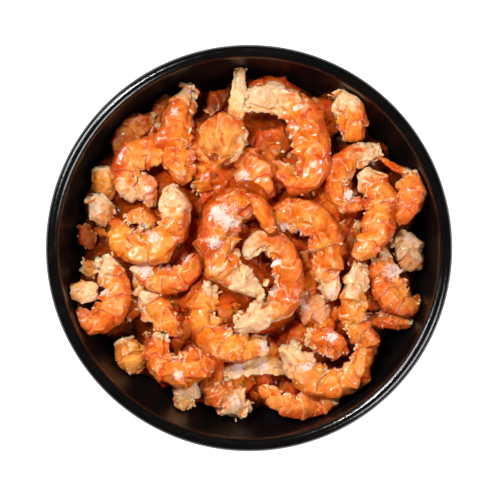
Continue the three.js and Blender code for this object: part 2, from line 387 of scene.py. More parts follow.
@dataclass(frozen=True)
class Tail:
    """One dried piece, as it lies in the heap.

    width: widest width in plan, in steps of the plan grid.
    line: across, front and level of points from the head end to the tail end.
    shade: main colour.
    girth: shares of the width at even steps along, or empty for the usual taper.
    plates: how many shell segments have left their mark.
    cream: share of the length at the head end that is cream.
    torn: how ragged the inner edge and the head end are.
    rose: how pink the back is.
    flatness: height as a share of the width.
    tip: share of the length at the tail end that is cream.
    """

    width: float
    line: tuple
    shade: Shade = Shade.ORANGE
    girth: tuple = ()
    plates: float = 5.0
    cream: float = 0.12
    torn: float = 1.0
    rose: float = 0.6
    flatness: float = BODY_FLATNESS
    tip: float = 0.0

    def girth_at(self, along: np.ndarray, tapered: bool) -> np.ndarray:
        """Share of the width along the piece: the girths blended smoothly, or the usual taper.

        The girths are joined by straight lines and averaged under a raised cosine. The usual taper
        is 1 up to the middle and falls with the square of the distance beyond it.

        Args:
            along: shares of the length.
            tapered: use the taper where there are no girths.

        Returns:
            One share of the width for each share of the length.
        """
        if self.girth:
            places = np.linspace(0, 1, len(self.girth))
            fine = np.linspace(0, 1, 101)
            rough = np.interp(fine, places, self.girth)
            kernel = np.hanning(15)
            padded = np.pad(rough, 7, mode="edge")
            return np.interp(along, fine, np.convolve(padded, kernel / kernel.sum(), mode="valid"))
        past = np.clip((along - 0.5) / 0.5, 0, 1)
        return 1 - 0.42 * past * past if tapered else np.ones_like(along)


# The tails whose backs have stayed pink, which lie on top
ROSY_TAILS = {
    "top_curl": Tail(33, ((246, 101, 2.8), (276, 97, 3), (303, 116, 3.2), (315, 152, 3.1),
                          (303, 183, 2.7), (270, 163, 1.8)), Shade.ORANGE, cream=0.3, rose=1.0),
    "right_arc": Tail(33, ((270, 221, 2.8), (296, 212, 3), (318, 221, 3.2), (328, 246, 3.2),
                           (327, 274, 3), (332, 299, 2.7)), Shade.ORANGE, cream=0.05, tip=0.2),
    "ring": Tail(29, ((237, 324, 3.2), (264, 314, 3.2), (284, 297, 3.2), (290, 271, 3.2),
                      (281, 249, 3), (262, 240, 3), (244, 256, 3.2)),
                 Shade.ROSY, cream=0.32, rose=1.0, tip=0.22),
    "centre": Tail(37, ((262, 291, 3.6), (243, 282, 3.9), (224, 264, 4.1), (217, 239, 4.2),
                        (227, 212, 4.2), (250, 199, 4.2)),
                   Shade.ORANGE, girth=(0.45, 0.72, 0.9, 1.0, 1.05, 0.95), cream=0.34, rose=0.5),
    "centre_tail": Tail(18, ((247, 197, 4.2), (262, 208, 4.2), (273, 232, 4.2)), Shade.ORANGE,
                        plates=1, cream=0, torn=0.3, rose=0.3),
    "left_curl": Tail(29, ((104, 258, 3.1), (116, 281, 3.1), (116, 305, 3.2), (104, 321, 3.4),
                           (88, 322, 3.6), (78, 309, 3.8)), Shade.ROSY, cream=0.2, rose=0.9),
    "pale_cup": Tail(26, ((138, 264, 2.4), (161, 280, 2.4), (185, 275, 2.6), (199, 255, 2.4)),
                     Shade.ROSY, cream=0.1, rose=0.5),
    "right_ragged": Tail(32, ((380, 255, 2.3), (385, 280, 2.5), (398, 301, 2.7), (425, 308, 3)),
                         Shade.ROSY, cream=0.1, rose=0.4),
    "right_point": Tail(16, ((366, 318, 1.7), (390, 321, 2.3), (416, 321, 2.9)), Shade.ROSY,
                        girth=(1.0, 1.0, 1.1, 0.8), plates=3, rose=0.8, tip=0.15),
    "upper_left": Tail(32, ((190, 88, 2.6), (181, 112, 2.8), (175, 140, 2.8), (181, 168, 2.5),
                            (189, 180, 2.2)), Shade.ORANGE, girth=(0.6, 0.95, 1.05, 1.05, 0.9),
                       cream=0.22, rose=0.8),
    "pink_front": Tail(26, ((309, 334, 2), (327, 340, 2.2), (348, 353, 2)), Shade.ROSY,
                       cream=0.1, rose=0.6),
    "pink_patch": Tail(24, ((141, 178, 2.2), (148, 190, 2.3), (153, 205, 2.2)), Shade.PINK,
                       cream=0, rose=0.4),
    "hook": Tail(24, ((380, 150, 3), (355, 156, 3.1), (338, 172, 3), (336, 191, 3),
                      (348, 203, 2.8), (366, 206, 2.6)), Shade.ORANGE, cream=0.25, rose=0.7),
    "far_right": Tail(29, ((414, 172, 3.7), (412, 194, 3.6), (397, 222, 2.8)), Shade.ROSY,
                      cream=0.05, rose=0.9),
    "diagonal": Tail(28, ((139, 293, 2), (162, 313, 2.2), (184, 333, 2)), Shade.ORANGE,
                     cream=0.35, rose=0.5),
}

# The tails that have turned amber all round, which lie on top
AMBER_TAILS = {
    "lower_middle": Tail(29, ((212, 286, 3), (203, 306, 3), (206, 328, 3), (222, 343, 3),
                              (245, 347, 2.8), (267, 345, 2.4)), Shade.AMBER, cream=0.06, rose=0.2,
                         girth=(0.85, 1.0, 1.0, 1.05, 1.05, 0.95), tip=0.1),
    "lower_right": Tail(29, ((290, 345, 3), (301, 367, 3), (320, 382, 3), (343, 383, 3),
                             (360, 369, 3), (365, 347, 2.6)), Shade.AMBER, cream=0.25, rose=0.4,
                        girth=(1.05, 1.1, 1.1, 1.0, 0.95, 0.8)),
    "column": Tail(26, ((358, 265, 3), (354, 294, 3), (351, 323, 2.8)), Shade.AMBER,
                   girth=(0.9, 0.95, 1.0, 1.1), cream=0.55, rose=0.3),
    "column_foot": Tail(25, ((349, 322, 2.6), (363, 331, 2.6), (373, 353, 2.2)), Shade.ORANGE,
                        cream=0, rose=0.6),
    "long_right": Tail(31, ((363, 170, 2.7), (378, 191, 3), (382, 216, 3.2), (373, 240, 3.2),
                            (354, 258, 3)), Shade.ORANGE, cream=0.15, rose=0.2, torn=0.4),
    "top_upright": Tail(31, ((341, 91, 3.6), (352, 114, 3.2), (354, 140, 2.5)), Shade.AMBER,
                        girth=(0.9, 1.0, 0.9, 0.95), cream=0.45, rose=0.2),
    "arch_left": Tail(31, ((168, 152, 2.6), (146, 151, 2.7), (128, 164, 2.7), (127, 187, 2.6),
                           (136, 200, 2.3)), Shade.ORANGE, girth=(1.1, 1.1, 0.95, 0.7, 0.6),
                      cream=0, rose=0.1, tip=0.25, torn=0.7),
    "arch_behind": Tail(33, ((156, 120, 2.1), (134, 129, 2.1), (121, 158, 2.1)), Shade.BROWN,
                        girth=(0.8, 1.0, 1.0, 0.8), plates=2, cream=0.05, rose=0.5, torn=0.5),
    "left_front": Tail(29, ((163, 337, 2.6), (157, 358, 2.8), (173, 370, 3), (195, 366, 3),
                            (216, 351, 2.4)), Shade.ORANGE, girth=(0.8, 1.0, 1.1, 1.15, 1.0),
                       cream=0.05, rose=0.5),
    "bottom_arc": Tail(24, ((336, 397, 2.8), (314, 407, 2.9), (290, 406, 2.7), (260, 387, 2.1)),
                       Shade.ORANGE, cream=0.1, rose=0.6),
    "tan_front_left": Tail(29, ((124, 338, 1.9), (130, 354, 1.9), (142, 370, 1.7)), Shade.TAN,
                           plates=2, cream=0.1, torn=0.4, rose=0.1),
    "bottom_left_grey": Tail(35, ((243, 411, 1.7), (225, 395, 1.7), (208, 376, 1.7)), Shade.BROWN,
                             girth=(0.8, 1.0, 1.1, 1.0), cream=0.45, torn=0.8, rose=0.3),
    "centre_top": Tail(34, ((236, 157, 1.8), (258, 174, 2.2), (265, 204, 1.9)), Shade.ROSY,
                       cream=0, rose=0.3),
    "centre_top_left": Tail(28, ((197, 182, 1.8), (213, 186, 1.8), (229, 199, 1.7)), Shade.ORANGE,
                            cream=0, rose=0.2),
    "sliver_left": Tail(15, ((167, 95, 2), (158, 113, 2), (154, 133, 1.6)), Shade.ORANGE,
                        plates=3, cream=0.1, rose=0.4),
    "under_lobe": Tail(22, ((194, 132, 1.8), (200, 152, 1.8), (228, 158, 1.6)), Shade.ORANGE,
                       cream=0, rose=0.3),
}

# The tails that show only between the others, three of them in the dark brown of painted shade
LOWER_TAILS = {
    "inner_round": Tail(34, ((250, 150, 1.2), (272, 140, 1.2), (296, 147, 1.2)), Shade.DARK, cream=0),
    "left_of_spike": Tail(23, ((212, 113, 1.2), (221, 101, 1.2), (233, 92, 1.2)), Shade.IN_PAINTED_SHADE),
    "behind_top": Tail(22, ((250, 91, 2), (275, 85, 2), (299, 93, 2)), Shade.BROWN),
    "behind_right": Tail(26, ((312, 104, 1.8), (325, 114, 1.8), (336, 133, 1.8)), Shade.BROWN),
    "mid_right": Tail(24, ((319, 184, 1.8), (329, 200, 1.8), (336, 220, 1.8)), Shade.BROWN),
    "under_right": Tail(20, ((339, 224, 1.6), (346, 240, 1.6), (347, 258, 1.6)), Shade.BROWN),
    "dark_band": Tail(23, ((209, 278, 1.9), (196, 296, 1.9), (185, 312, 1.9)), Shade.BROWN, cream=0),
    "under_ring": Tail(26, ((224, 320, 2), (230, 300, 2), (246, 294, 2)), Shade.ORANGE, cream=0),
    "under_front": Tail(26, ((298, 331, 1.6), (316, 327, 1.6), (334, 314, 1.6)), Shade.ORANGE,
                        cream=0),
    "under_arc": Tail(20, ((305, 252, 1.8), (310, 276, 1.8), (310, 300, 1.8)), Shade.ORANGE,
                      cream=0),
    "far_left_dark": Tail(16, ((83, 226, 2), (86, 237, 2), (92, 248, 1.8)), Shade.IN_PAINTED_SHADE, cream=0),
    "far_right_dark": Tail(16, ((401, 272, 1.4), (404, 285, 1.4), (402, 299, 1.4)), Shade.IN_PAINTED_SHADE,
                           cream=0),
    "front_gap": Tail(28, ((262, 342, 1.4), (275, 355, 1.4), (283, 372, 1.4)), Shade.ORANGE,
                      cream=0),
    "front_low": Tail(22, ((281, 396, 1.2), (292, 387, 1.2), (300, 376, 1.2)), Shade.BROWN,
                      cream=0),
    "under_centre": Tail(24, ((224, 238, 2.2), (245, 237, 2.2), (266, 228, 2.2)), Shade.ORANGE,
                         cream=0),
    "left_gap": Tail(22, ((127, 313, 1.7), (136, 305, 1.7), (143, 291, 1.7)), Shade.BROWN, cream=0),
    "far_right_tip": Tail(8, ((411, 173, 3.8), (398, 169, 3.4), (380, 157, 3)), Shade.ROSY,
                          plates=2, cream=0, torn=0.3),
}

# Short pieces with blunt, crumbly ends
CHUNKS = {
    "big_left": Tail(29, ((169, 188, 3), (178, 213, 3.2), (169, 239, 3.2), (147, 251, 3),
                          (127, 244, 2.8), (115, 228, 2.6)), Shade.AMBER, cream=0.25, rose=0.1),
    "round_end": Tail(26, ((103, 166, 2.8), (105, 180, 2.4), (109, 196, 1.4)), Shade.TAN,
                      plates=1, cream=0.1, torn=0.2, rose=0),
    "cream_nub": Tail(23, ((98, 290, 3.2), (84, 290, 3.5), (71, 290, 3.8)), Shade.CREAM,
                      plates=1, cream=0.8, torn=0.3, rose=0),
    "brown_nub": Tail(17, ((83, 265, 2.2), (90, 268, 2.2), (98, 273, 2.2)), Shade.TAN, plates=2,
                      cream=0.2, rose=0),
    "front_nub": Tail(24, ((189, 378, 2.1), (185, 394, 2), (183, 408, 2)), Shade.CREAM, plates=2,
                      cream=0.9, torn=1.3, rose=0),
    "pink_chunk": Tail(26, ((298, 299, 2), (311, 309, 2.1), (326, 317, 1.9)), Shade.PINK,
                       plates=2, cream=0.18, rose=0),
    "red_bit": Tail(15, ((149, 333, 1.4), (152, 343, 1.4), (157, 353, 1.4)), Shade.DARK, plates=2,
                    cream=0, rose=0.5),
    "right_grey": Tail(29, ((396, 236, 2), (410, 250, 2.2), (414, 269, 2)), Shade.GREY, plates=2,
                       cream=0.75, torn=0.6, rose=0.1),
    "lobe": Tail(46, ((241, 146, 3), (225, 138, 3.1), (203, 138, 2.6)), Shade.PALE, plates=2,
                 girth=(1.0, 1.1, 0.95, 0.75), cream=0.12, torn=0.48, rose=0.2),
    "left_frays": Tail(15, ((128, 219, 3.0), (141, 214, 3.1), (156, 224, 3.0)), Shade.ORANGE,
                       plates=2, cream=0.08, torn=1.5, rose=0.5),
    "left_frays_low": Tail(12, ((138, 234, 2.8), (147, 226, 2.9), (159, 233, 2.8)), Shade.ROSY,
                           plates=2, cream=0, torn=1.0, rose=0.4),
    "frayed": Tail(11, ((284, 145, 1.2), (290, 155, 1.2), (294, 168, 1.2)), Shade.BROWN, plates=2,
                   cream=0.5, rose=0),
}

# Thin pieces: loose flesh and shell, with what they all share
FLAP = {"plates": 1, "rose": 0, "flatness": FLAP_FLATNESS}
FLAPS = {
    "spike": Tail(17, ((241, 68, 3), (239, 95, 3), (237, 121, 2.6)), Shade.CREAM,
                  girth=(0.75, 0.8, 0.9, 1.3), cream=0.9, **FLAP),
    "left_flake": Tail(28, ((95, 199, 2.5), (100, 209, 2.3), (107, 222, 1.8)), Shade.GREY,
                       cream=0.6, **FLAP),
    "white_flap": Tail(20, ((226, 373, 2), (250, 364, 2.2), (285, 366, 2)), Shade.CREAM,
                       cream=0.9, torn=1.5, **FLAP),
    "tan_flake": Tail(12, ((138, 276, 2), (138, 283, 2), (139, 291, 2)), Shade.TAN, cream=0.5, **FLAP),
    "leaf": Tail(11, ((359, 222, 2.2), (353, 235, 2.2), (347, 250, 1.8)), Shade.BROWN,
                 cream=0.2, **FLAP),
    "inner_sliver": Tail(8, ((260, 252, 2), (260, 268, 2), (260, 285, 2)), Shade.BROWN,
                         cream=0, **FLAP),
}

# Pale powdery patches on the upper flesh: across, front and reach on the plan grid, and strength
PATCHES = (
    (220, 214, 13, 1.0), (230, 222, 12, 1.0), (216, 242, 9, 1.0), (236, 207, 10, 0.6),
    (244, 177, 10, 0.9), (285, 227, 6, 1.2), (140, 226, 14, 0.6), (155, 238, 10, 0.8),
    (146, 270, 11, 0.9), (172, 264, 6, 1.0), (188, 255, 8, 1.1), (265, 345, 7, 1.1),
    (332, 336, 8, 1.0), (392, 271, 11, 1.0), (350, 195, 8, 1.0), (179, 374, 6, 1.0),
    (175, 357, 5, 0.9), (307, 366, 7, 1.0), (304, 307, 10, 0.8), (314, 164, 6, 0.9),
    (175, 112, 6, 0.9), (276, 262, 5, 1.0), (275, 276, 5, 1.0), (273, 290, 7, 0.9),
    (106, 291, 8, 0.8), (236, 402, 10, 0.9), (190, 90, 7, 0.9), (99, 208, 8, 0.7),
    (408, 240, 8, 0.7), (306, 303, 8, 0.5), (148, 190, 8, 0.7), (427, 197, 6, 0.9),
    (180, 158, 8, 0.4), (333, 292, 7, 0.8), (360, 290, 7, 0.5), (262, 92, 10, 0.6),
    (240, 367, 11, 0.9), (263, 366, 11, 0.8), (136, 216, 5, 0.5), (150, 229, 5, 0.6),
)


@dataclass
class Surface:
    """Triangles with what the material needs to know at each vertex."""

    points: np.ndarray
    triangles: np.ndarray
    flesh: np.ndarray
    marks: np.ndarray
    plates: np.ndarray


def joined(parts: list[Surface]) -> Surface:
    """Puts several surfaces into one, without welding them.

    Args:
        parts: the surfaces.

    Returns:
        One surface with all their vertices and triangles, in order.
    """
    starts = np.cumsum([0] + [len(p.points) for p in parts[:-1]])
    return Surface(
        np.concatenate([p.points for p in parts]),
        np.concatenate([p.triangles + start for p, start in zip(parts, starts)]),
        np.concatenate([p.flesh for p in parts]),
        np.concatenate([p.marks for p in parts]),
        np.concatenate([p.plates for p in parts]),
    )


def closed_grid(rings: int, sides: int, flipped: bool) -> np.ndarray:
    """Triangles of a closed body: rings of vertices between a first and a last single vertex.

    Args:
        rings: rings between the two poles.
        sides: vertices in each ring.
        flipped: turn every triangle over.

    Returns:
        Vertex numbers, three for each triangle. Vertex 0 is the first pole and the last vertex is
        the other one.
    """
    ring = np.arange(rings - 1)[:, None] * sides + 1
    side = np.arange(sides)[None, :]
    beside = (side + 1) % sides
    a, b = ring + side, ring + beside
    c, d = b + sides, a + sides
    wall = np.concatenate([np.stack([a, b, c], -1).reshape(-1, 3),
                           np.stack([a, c, d], -1).reshape(-1, 3)])
    side, beside = side[0], beside[0]
    last = (rings - 1) * sides + 1
    first_cap = np.stack([np.zeros_like(side), 1 + beside, 1 + side], -1)
    last_cap = np.stack([np.full_like(side, last + sides), last + side, last + beside], -1)
    triangles = np.concatenate([wall, first_cap, last_cap])
    return triangles[:, ::-1] if flipped else triangles


def ring_grid(rings: int, sides: int) -> tuple[np.ndarray, np.ndarray]:
    """Where each ring vertex of a small closed body lies.

    Args:
        rings: rings between the two poles.
        sides: vertices in each ring.

    Returns:
        The share of the length and the angle of each vertex, each as a single row.
    """
    along = np.linspace(0, 1, rings + 2)[1:-1]
    turn = np.arange(sides) / sides * 2 * np.pi
    share, angle = (a.ravel()[None, :] for a in np.meshgrid(along, turn, indexing="ij"))
    return share, angle


def repeated(pattern: np.ndarray, number: int, each: int) -> np.ndarray:
    """The triangles of one body for a number of bodies that have the same count of vertices."""
    return (pattern[None] + (np.arange(number) * each)[:, None, None]).reshape(-1, 3)


@dataclass(frozen=True)
class Relief:
    """How far each kind of relief moves the surface, in millimetres for a piece of full size.

    plate: rise of a shell segment towards the tail.
    face: flat faces of middle size, and cream_face what cream adds to them.
    chip: small flat faces.
    lump: soft lumps.
    grain: fine grain, and cream_grain what cream adds to it.
    crumb: pebbles in the cream.
    strand: strands along the body.
    groove: depth of the groove above the inner edge.
    """

    plate: float = 0.65
    face: float = 1.0
    cream_face: float = 0.15
    chip: float = 0.34
    lump: float = 0.34
    grain: float = 0.05
    cream_grain: float = 0.07
    crumb: float = 0.12
    strand: float = 0.16
    groove: float = 1.1


@dataclass
class DriedPiece:
    """A piece of dried shrimp as a closed surface round its middle line.

    tail: what it is and how it lies.
    rings: rings of vertices between its ends.
    sides: vertices in each ring.
    seed: which random values it has.
    tapered: narrow it towards the tail end where it has no girths.
    knots: points of its middle line in millimetres, where the tail holds no line.
    amount: how far its relief stands out.
    """

    tail: Tail
    rings: int
    sides: int
    seed: int
    tapered: bool = True
    knots: np.ndarray | None = None
    amount: Relief = Relief()

    def line(self) -> Line:
        """The piece's middle line."""
        return Line(smooth_line(plan_points(self.tail.line) if self.knots is None else self.knots))

    def skin(self, line: Line, u: np.ndarray, v: np.ndarray, swell: np.ndarray) -> np.ndarray:
        """Places on the bare body, before any relief.

        The half width is half the width times the girth times (4u(1 − u)) to the end roundness.
        The section is a squarish ellipse, pinched towards the inner edge, and it rolls a little
        from side to side along the body.

        Args:
            line: the piece's middle line.
            u: shares of its length.
            v: angles round it, 0 at the outer edge and a quarter turn on top.
            swell: factors on the section.

        Returns:
            One place for each pair of u and v.
        """
        tail = self.tail
        _, side, upper = line.frames(u)
        back, top = np.cos(v), np.sin(v)
        body = self.half_width(u)
        pinch = 1 - 0.5 * smooth_step(0.25, -0.95, back) * min(1.0, tail.torn)
        across = np.sign(back) * np.abs(back) ** 0.75 * body * swell
        height = np.sign(top) * np.abs(top) ** 0.65 * body * swell * tail.flatness * pinch
        sway = np.stack([u * line.length, np.full_like(u, self.seed * 5.1), np.zeros_like(u)], -1)
        roll = 0.9 * (soft_noise(sway, 7.0, self.seed + 37) - 0.5)
        level = across * np.cos(roll) - height * np.sin(roll)
        rise = across * np.sin(roll) + height * np.cos(roll)
        return line.at(u) + side * (self.bend(line) * level)[:, None] + upper * rise[:, None]

    def half_width(self, u: np.ndarray) -> np.ndarray:
        """Half the body's width in millimetres at shares of its length."""
        half = self.tail.width / 2 * PLAN_STEP
        return half * self.tail.girth_at(u, self.tapered) * (4 * u * (1 - u)) ** END_ROUNDNESS

    def plates(self, line: Line) -> float:
        """How many plates the piece shows: its own number, but none shorter than the least length."""
        return min(self.tail.plates, max(1.0, line.length / SHORTEST_PLATE))

    @staticmethod
    def bend(line: Line) -> float:
        """1 where the line's outer edge lies on its left, and −1 where it lies on its right."""
        return -1.0 if line.turn() > 0 else 1.0

    def creased(self, line: Line, u: np.ndarray, v: np.ndarray) -> np.ndarray:
        """The bare body as flat faces: the places of a coarse grid, joined by flat triangles.

        The coarse rows lie at the joints between the plates and half way between them, with two
        more by each end. Each coarse place is moved in or out at random. On the back the joints
        stand out and the rows between them lie back, so the outline has corners. Each cell is cut
        along one diagonal or the other at random, and a place is the corner of its triangle plus
        its shares of the two sides.

        Args:
            line: the piece's middle line.
            u: shares of its length.
            v: angles round it.

        Returns:
            One place for each pair of u and v.
        """
        steps = max(2 * math.ceil(self.plates(line)), round(line.length / 3.2))
        blunt = 0.012
        rows = np.concatenate([[0, blunt], np.arange(1, steps) / steps, [1 - blunt, 1]])
        around = 7 + self.seed % 3
        i, j = (a.ravel() for a in np.meshgrid(np.arange(len(rows)), np.arange(around), indexing="ij"))
        cell = np.stack([i, j, np.full_like(i, self.seed)], -1)
        joint = (i - 1) % 2
        turn = 2 * np.pi * (j + 0.5 * scatter(cell, 3) + 0.3 * ((i // 2) % 2)) / around
        corner = 0.16 * np.maximum(0, np.cos(turn)) * (joint - 0.5)
        swell = 1.06 + 0.34 * (scatter(cell, 5) - 0.5) - corner
        knots = self.skin(line, rows[i], turn, swell).reshape(len(rows), around, 3)

        down = np.interp(u, rows, np.arange(len(rows)))
        row = np.minimum(down.astype(int), len(rows) - 2)
        over = (v / (2 * np.pi) * around) % around
        column = over.astype(int) % around
        a, b = (down - row)[:, None], (over - np.floor(over))[:, None]
        after = (column + 1) % around
        p00, p01 = knots[row, column], knots[row, after]
        p10, p11 = knots[row + 1, column], knots[row + 1, after]
        one_way = np.where(a + b < 1, p00 + a * (p10 - p00) + b * (p01 - p00),
                           p11 + (1 - a) * (p01 - p11) + (1 - b) * (p10 - p11))
        other_way = np.where(a > b, p00 + a * (p10 - p00) + b * (p11 - p10),
                             p00 + b * (p01 - p00) + a * (p11 - p01))
        choice = scatter(np.stack([row, column, np.full_like(row, self.seed)], -1), 9) < 0.5
        return np.where(choice[:, None], one_way, other_way)

    def surface(self) -> Surface:
        """Builds the piece.

        The bare body is nine parts flat faces and one part the smooth one. Lengths in millimetres
        are added outwards from the middle line: plates that rise towards the tail and drop at
        their edge, rounded lobes along the inner edge, a groove above them, smaller flat faces,
        lumps, strands along the body, and grain and crumbs where the flesh is creamy. Both ends
        are pushed out and in along the line by noise round the ring.

        Returns:
            The closed surface with its colour and marks.
        """
        tail = self.tail
        line = self.line()
        half = tail.width / 2 * PLAN_STEP

        even = np.linspace(0, 1, self.rings + 2)
        along = 0.65 * even + 0.35 * (1 - np.cos(np.pi * even)) / 2
        turn = np.arange(self.sides) / self.sides * 2 * np.pi
        turn = turn + 0.45 * np.cos(turn)
        u = np.repeat(along, self.sides)
        v = np.tile(turn, self.rings + 2)
        back, top = np.cos(v), np.sin(v)
        middle = line.at(u)
        body = self.half_width(u)
        smooth = self.skin(line, u, v, np.ones_like(u))
        bare = smooth + FACETING * (self.creased(line, u, v) - smooth)

        # Millimetres along the piece and round it, for patterns that follow the body
        follow = np.stack([u * line.length, back * body, top * body], -1) + self.seed * 17.3
        inner = smooth_step(0.3, -0.9, back)
        wander = layered_noise(follow, 5.0, self.seed + 31, 2) - 0.5
        plates_shown = self.plates(line)
        phase = plates_shown * u + 0.15 * top * top - 0.35 * inner + 0.7 * wander
        step = phase - np.floor(phase)
        middle_part = smooth_step(0.02, 0.10, u) * smooth_step(1.0, 0.93, u) * (plates_shown > 1)
        rise = step - 0.5 - smooth_step(0.94, 1.0, step)
        lobe = np.sqrt(np.maximum(0, 1 - (2 * step - 1) ** 2)) - 0.7
        cream = self.creamy(u, back, follow)

        faces = facets(bare + self.seed, 2.9, self.seed + 7)
        chips = facets(bare * 1.1 + self.seed, 1.05, self.seed + 17)
        lumps = layered_noise(bare, 3.4, self.seed, 3) - 0.5
        grain = layered_noise(bare, 0.9, self.seed + 5, 2) - 0.5
        near, _ = pebbles(bare, 1.5, self.seed + 83)
        strands = layered_noise(follow * np.array([0.35, 1.6, 1.6]), 1.1, self.seed + 23, 2) - 0.5
        teeth = layered_noise(follow * np.array([1.0, 0.4, 0.4]), 1.3, self.seed + 41, 3) - 0.5
        groove = np.exp(-(((back + 0.42) / 0.17) ** 2)) * smooth_step(0.0, 0.5, top)
        broken = smooth_step(0.35, 0.7, soft_noise(follow, 4.0, self.seed + 43))
        groove = groove * broken * min(1, tail.torn)
        scale = min(1.0, half / FULL_HALF_WIDTH)
        amount = self.amount
        relief = scale * (
            amount.plate * rise * middle_part
            + (amount.face + amount.cream_face * cream) * (faces - 0.5)
            + amount.chip * (chips - 0.5)
            + amount.lump * lumps
            + (amount.grain + amount.cream_grain * cream) * grain
            + amount.crumb * cream * (0.5 - near)
            + amount.strand * strands
            - amount.groove * groove
        )
        edge = smooth_step(-0.35, -0.9, back) * tail.torn
        fringe = edge * half * (0.42 * lobe * middle_part + 0.65 * teeth + 0.06)
        room = np.minimum(1, body / half * 1.6)
        outwards = bare - middle
        outwards /= np.maximum(np.linalg.norm(outwards, axis=1, keepdims=True), 1e-6)
        points = bare + outwards * ((relief + fringe) * room)[:, None]

        # Ends: lobes that run on along the line, and hollows between them
        forward = line.frames(u)[0]
        round_ring = np.stack([back * 1.6, top * 1.6, np.full_like(u, self.seed * 3.7)], -1)
        lobes = layered_noise(round_ring, 0.75, self.seed + 53, 3) - 0.42
        head = np.exp(-u * line.length / (0.34 * half)) * half * 1.5 * tail.torn
        end = np.exp(-(1 - u) * line.length / (0.3 * half)) * half * 0.6 * tail.torn
        points = points + forward * ((end - head) * lobes)[:, None]

        first = points[: self.sides].mean(axis=0)
        last = points[-self.sides:].mean(axis=0)
        points = np.vstack([first, points[self.sides: -self.sides], last])

        # Random tone from faces, chips and strands, and painted shade in the groove
        tone = 0.40 * (faces - 0.5) + 0.45 * (chips - 0.5) + 0.5 * strands - 0.35 * groove
        flesh, powder = self.finish(back, top, bare, tone)
        marks = np.stack([powder, cream, np.zeros_like(u)], -1)
        plates = np.stack([phase, back, u * line.length / 10], -1)
        keep = np.r_[0, np.arange(self.sides, len(u) - self.sides), len(u) - 1]
        triangles = closed_grid(self.rings, self.sides, flipped=self.bend(line) < 0)
        return Surface(kept_inside(points), triangles, flesh[keep], marks[keep], plates[keep])

    def finish(self, back: np.ndarray, top: np.ndarray, bare: np.ndarray, tone: np.ndarray,
               ) -> tuple[np.ndarray, np.ndarray]:
        """Colour and powder of the surface.

        The flesh runs from painted shade at the sides, through the piece's shade, to a painted peach
        glow on top, where most light would come through. The duller the shade, the less painted glow it
        takes. Slow noise and the given tone shift it, and the back is rosier. Powder lies in
        patches that fade with the square of the distance, and along the dry rim of a torn inner edge.

        Args:
            back: 1 on the outer edge and −1 on the inner one.
            top: 1 on top.
            bare: places before the relief.
            tone: what to add to the tone.

        Returns:
            The colour, three values each, and the share of powder.
        """
        tail = self.tail
        shade = np.array(colour(tail.shade.value))
        slow = layered_noise(bare, 4.5, self.seed + 61, 2) - 0.5
        # Painted glow on top and painted shade at the sides, mixed with random tone from noise and the
        # given tone
        tone = 0.06 + 0.72 * smooth_step(0.35, 1.0, top) + 1.4 * slow + tone
        darker = np.clip(1 - 2 * tone, 0, 1)[:, None]
        paler = np.clip(2 * tone - 1, 0, 1)[:, None]
        light = min(1.0, shade[1] / colour(Shade.ORANGE.value)[1])
        flesh = shade + darker * shade * (SIDE_SHADE_AND_TONE_DEEPENING - 1) + 0.72 * light * paler * (PEACH_GLOW_AND_TONE - shade)
        rose = smooth_step(0.1, 0.8, back + 0.8 * slow) * smooth_step(-0.1, 0.5, top) * tail.rose * 0.7
        flesh = flesh + (ROSE_BACK - flesh) * rose[:, None]
        across = bare[:, 0] / PLAN_STEP + PLAN_CENTRE[0]
        front = PLAN_CENTRE[1] - bare[:, 1] / PLAN_STEP
        powder = np.zeros_like(back)
        for x, y, reach, strength in PATCHES:
            distance = np.hypot(across - x, front - y) / reach
            powder = np.maximum(powder, strength * np.exp(-(distance**2)))
        dry = layered_noise(bare, 2.0, self.seed + 67, 2)
        rim = smooth_step(-0.5, -0.95, back) * smooth_step(0.44, 0.7, dry) * min(1, tail.torn)
        powder = np.maximum(powder, DRY_RIM * rim)
        return np.clip(flesh, 0, 1), powder * smooth_step(-0.2, 0.5, top)

    def creamy(self, u: np.ndarray, back: np.ndarray, follow: np.ndarray) -> np.ndarray:
        """Share of cream: near the head end, near the tip and along the torn inner edge.

        Args:
            u: share of the length.
            back: 1 on the outer edge and −1 on the inner one.
            follow: places along and round the body.

        Returns:
            Shares from 0 to 1, broken up by noise.
        """
        tail = self.tail
        patchy = layered_noise(follow, 1.6, self.seed + 71, 3) - 0.5
        head = smooth_step(1.5, 0.3, u / max(tail.cream, 1e-3) + 1.5 * patchy) * (tail.cream > 0)
        tip = smooth_step(1.5, 0.3, (1 - u) / max(tail.tip, 1e-3) + 1.5 * patchy) * (tail.tip > 0)
        fringe = smooth_step(-0.5, -0.95, back + 1.1 * patchy) * 0.6 * min(1, tail.torn)
        return np.maximum.reduce([head, fringe, tip])


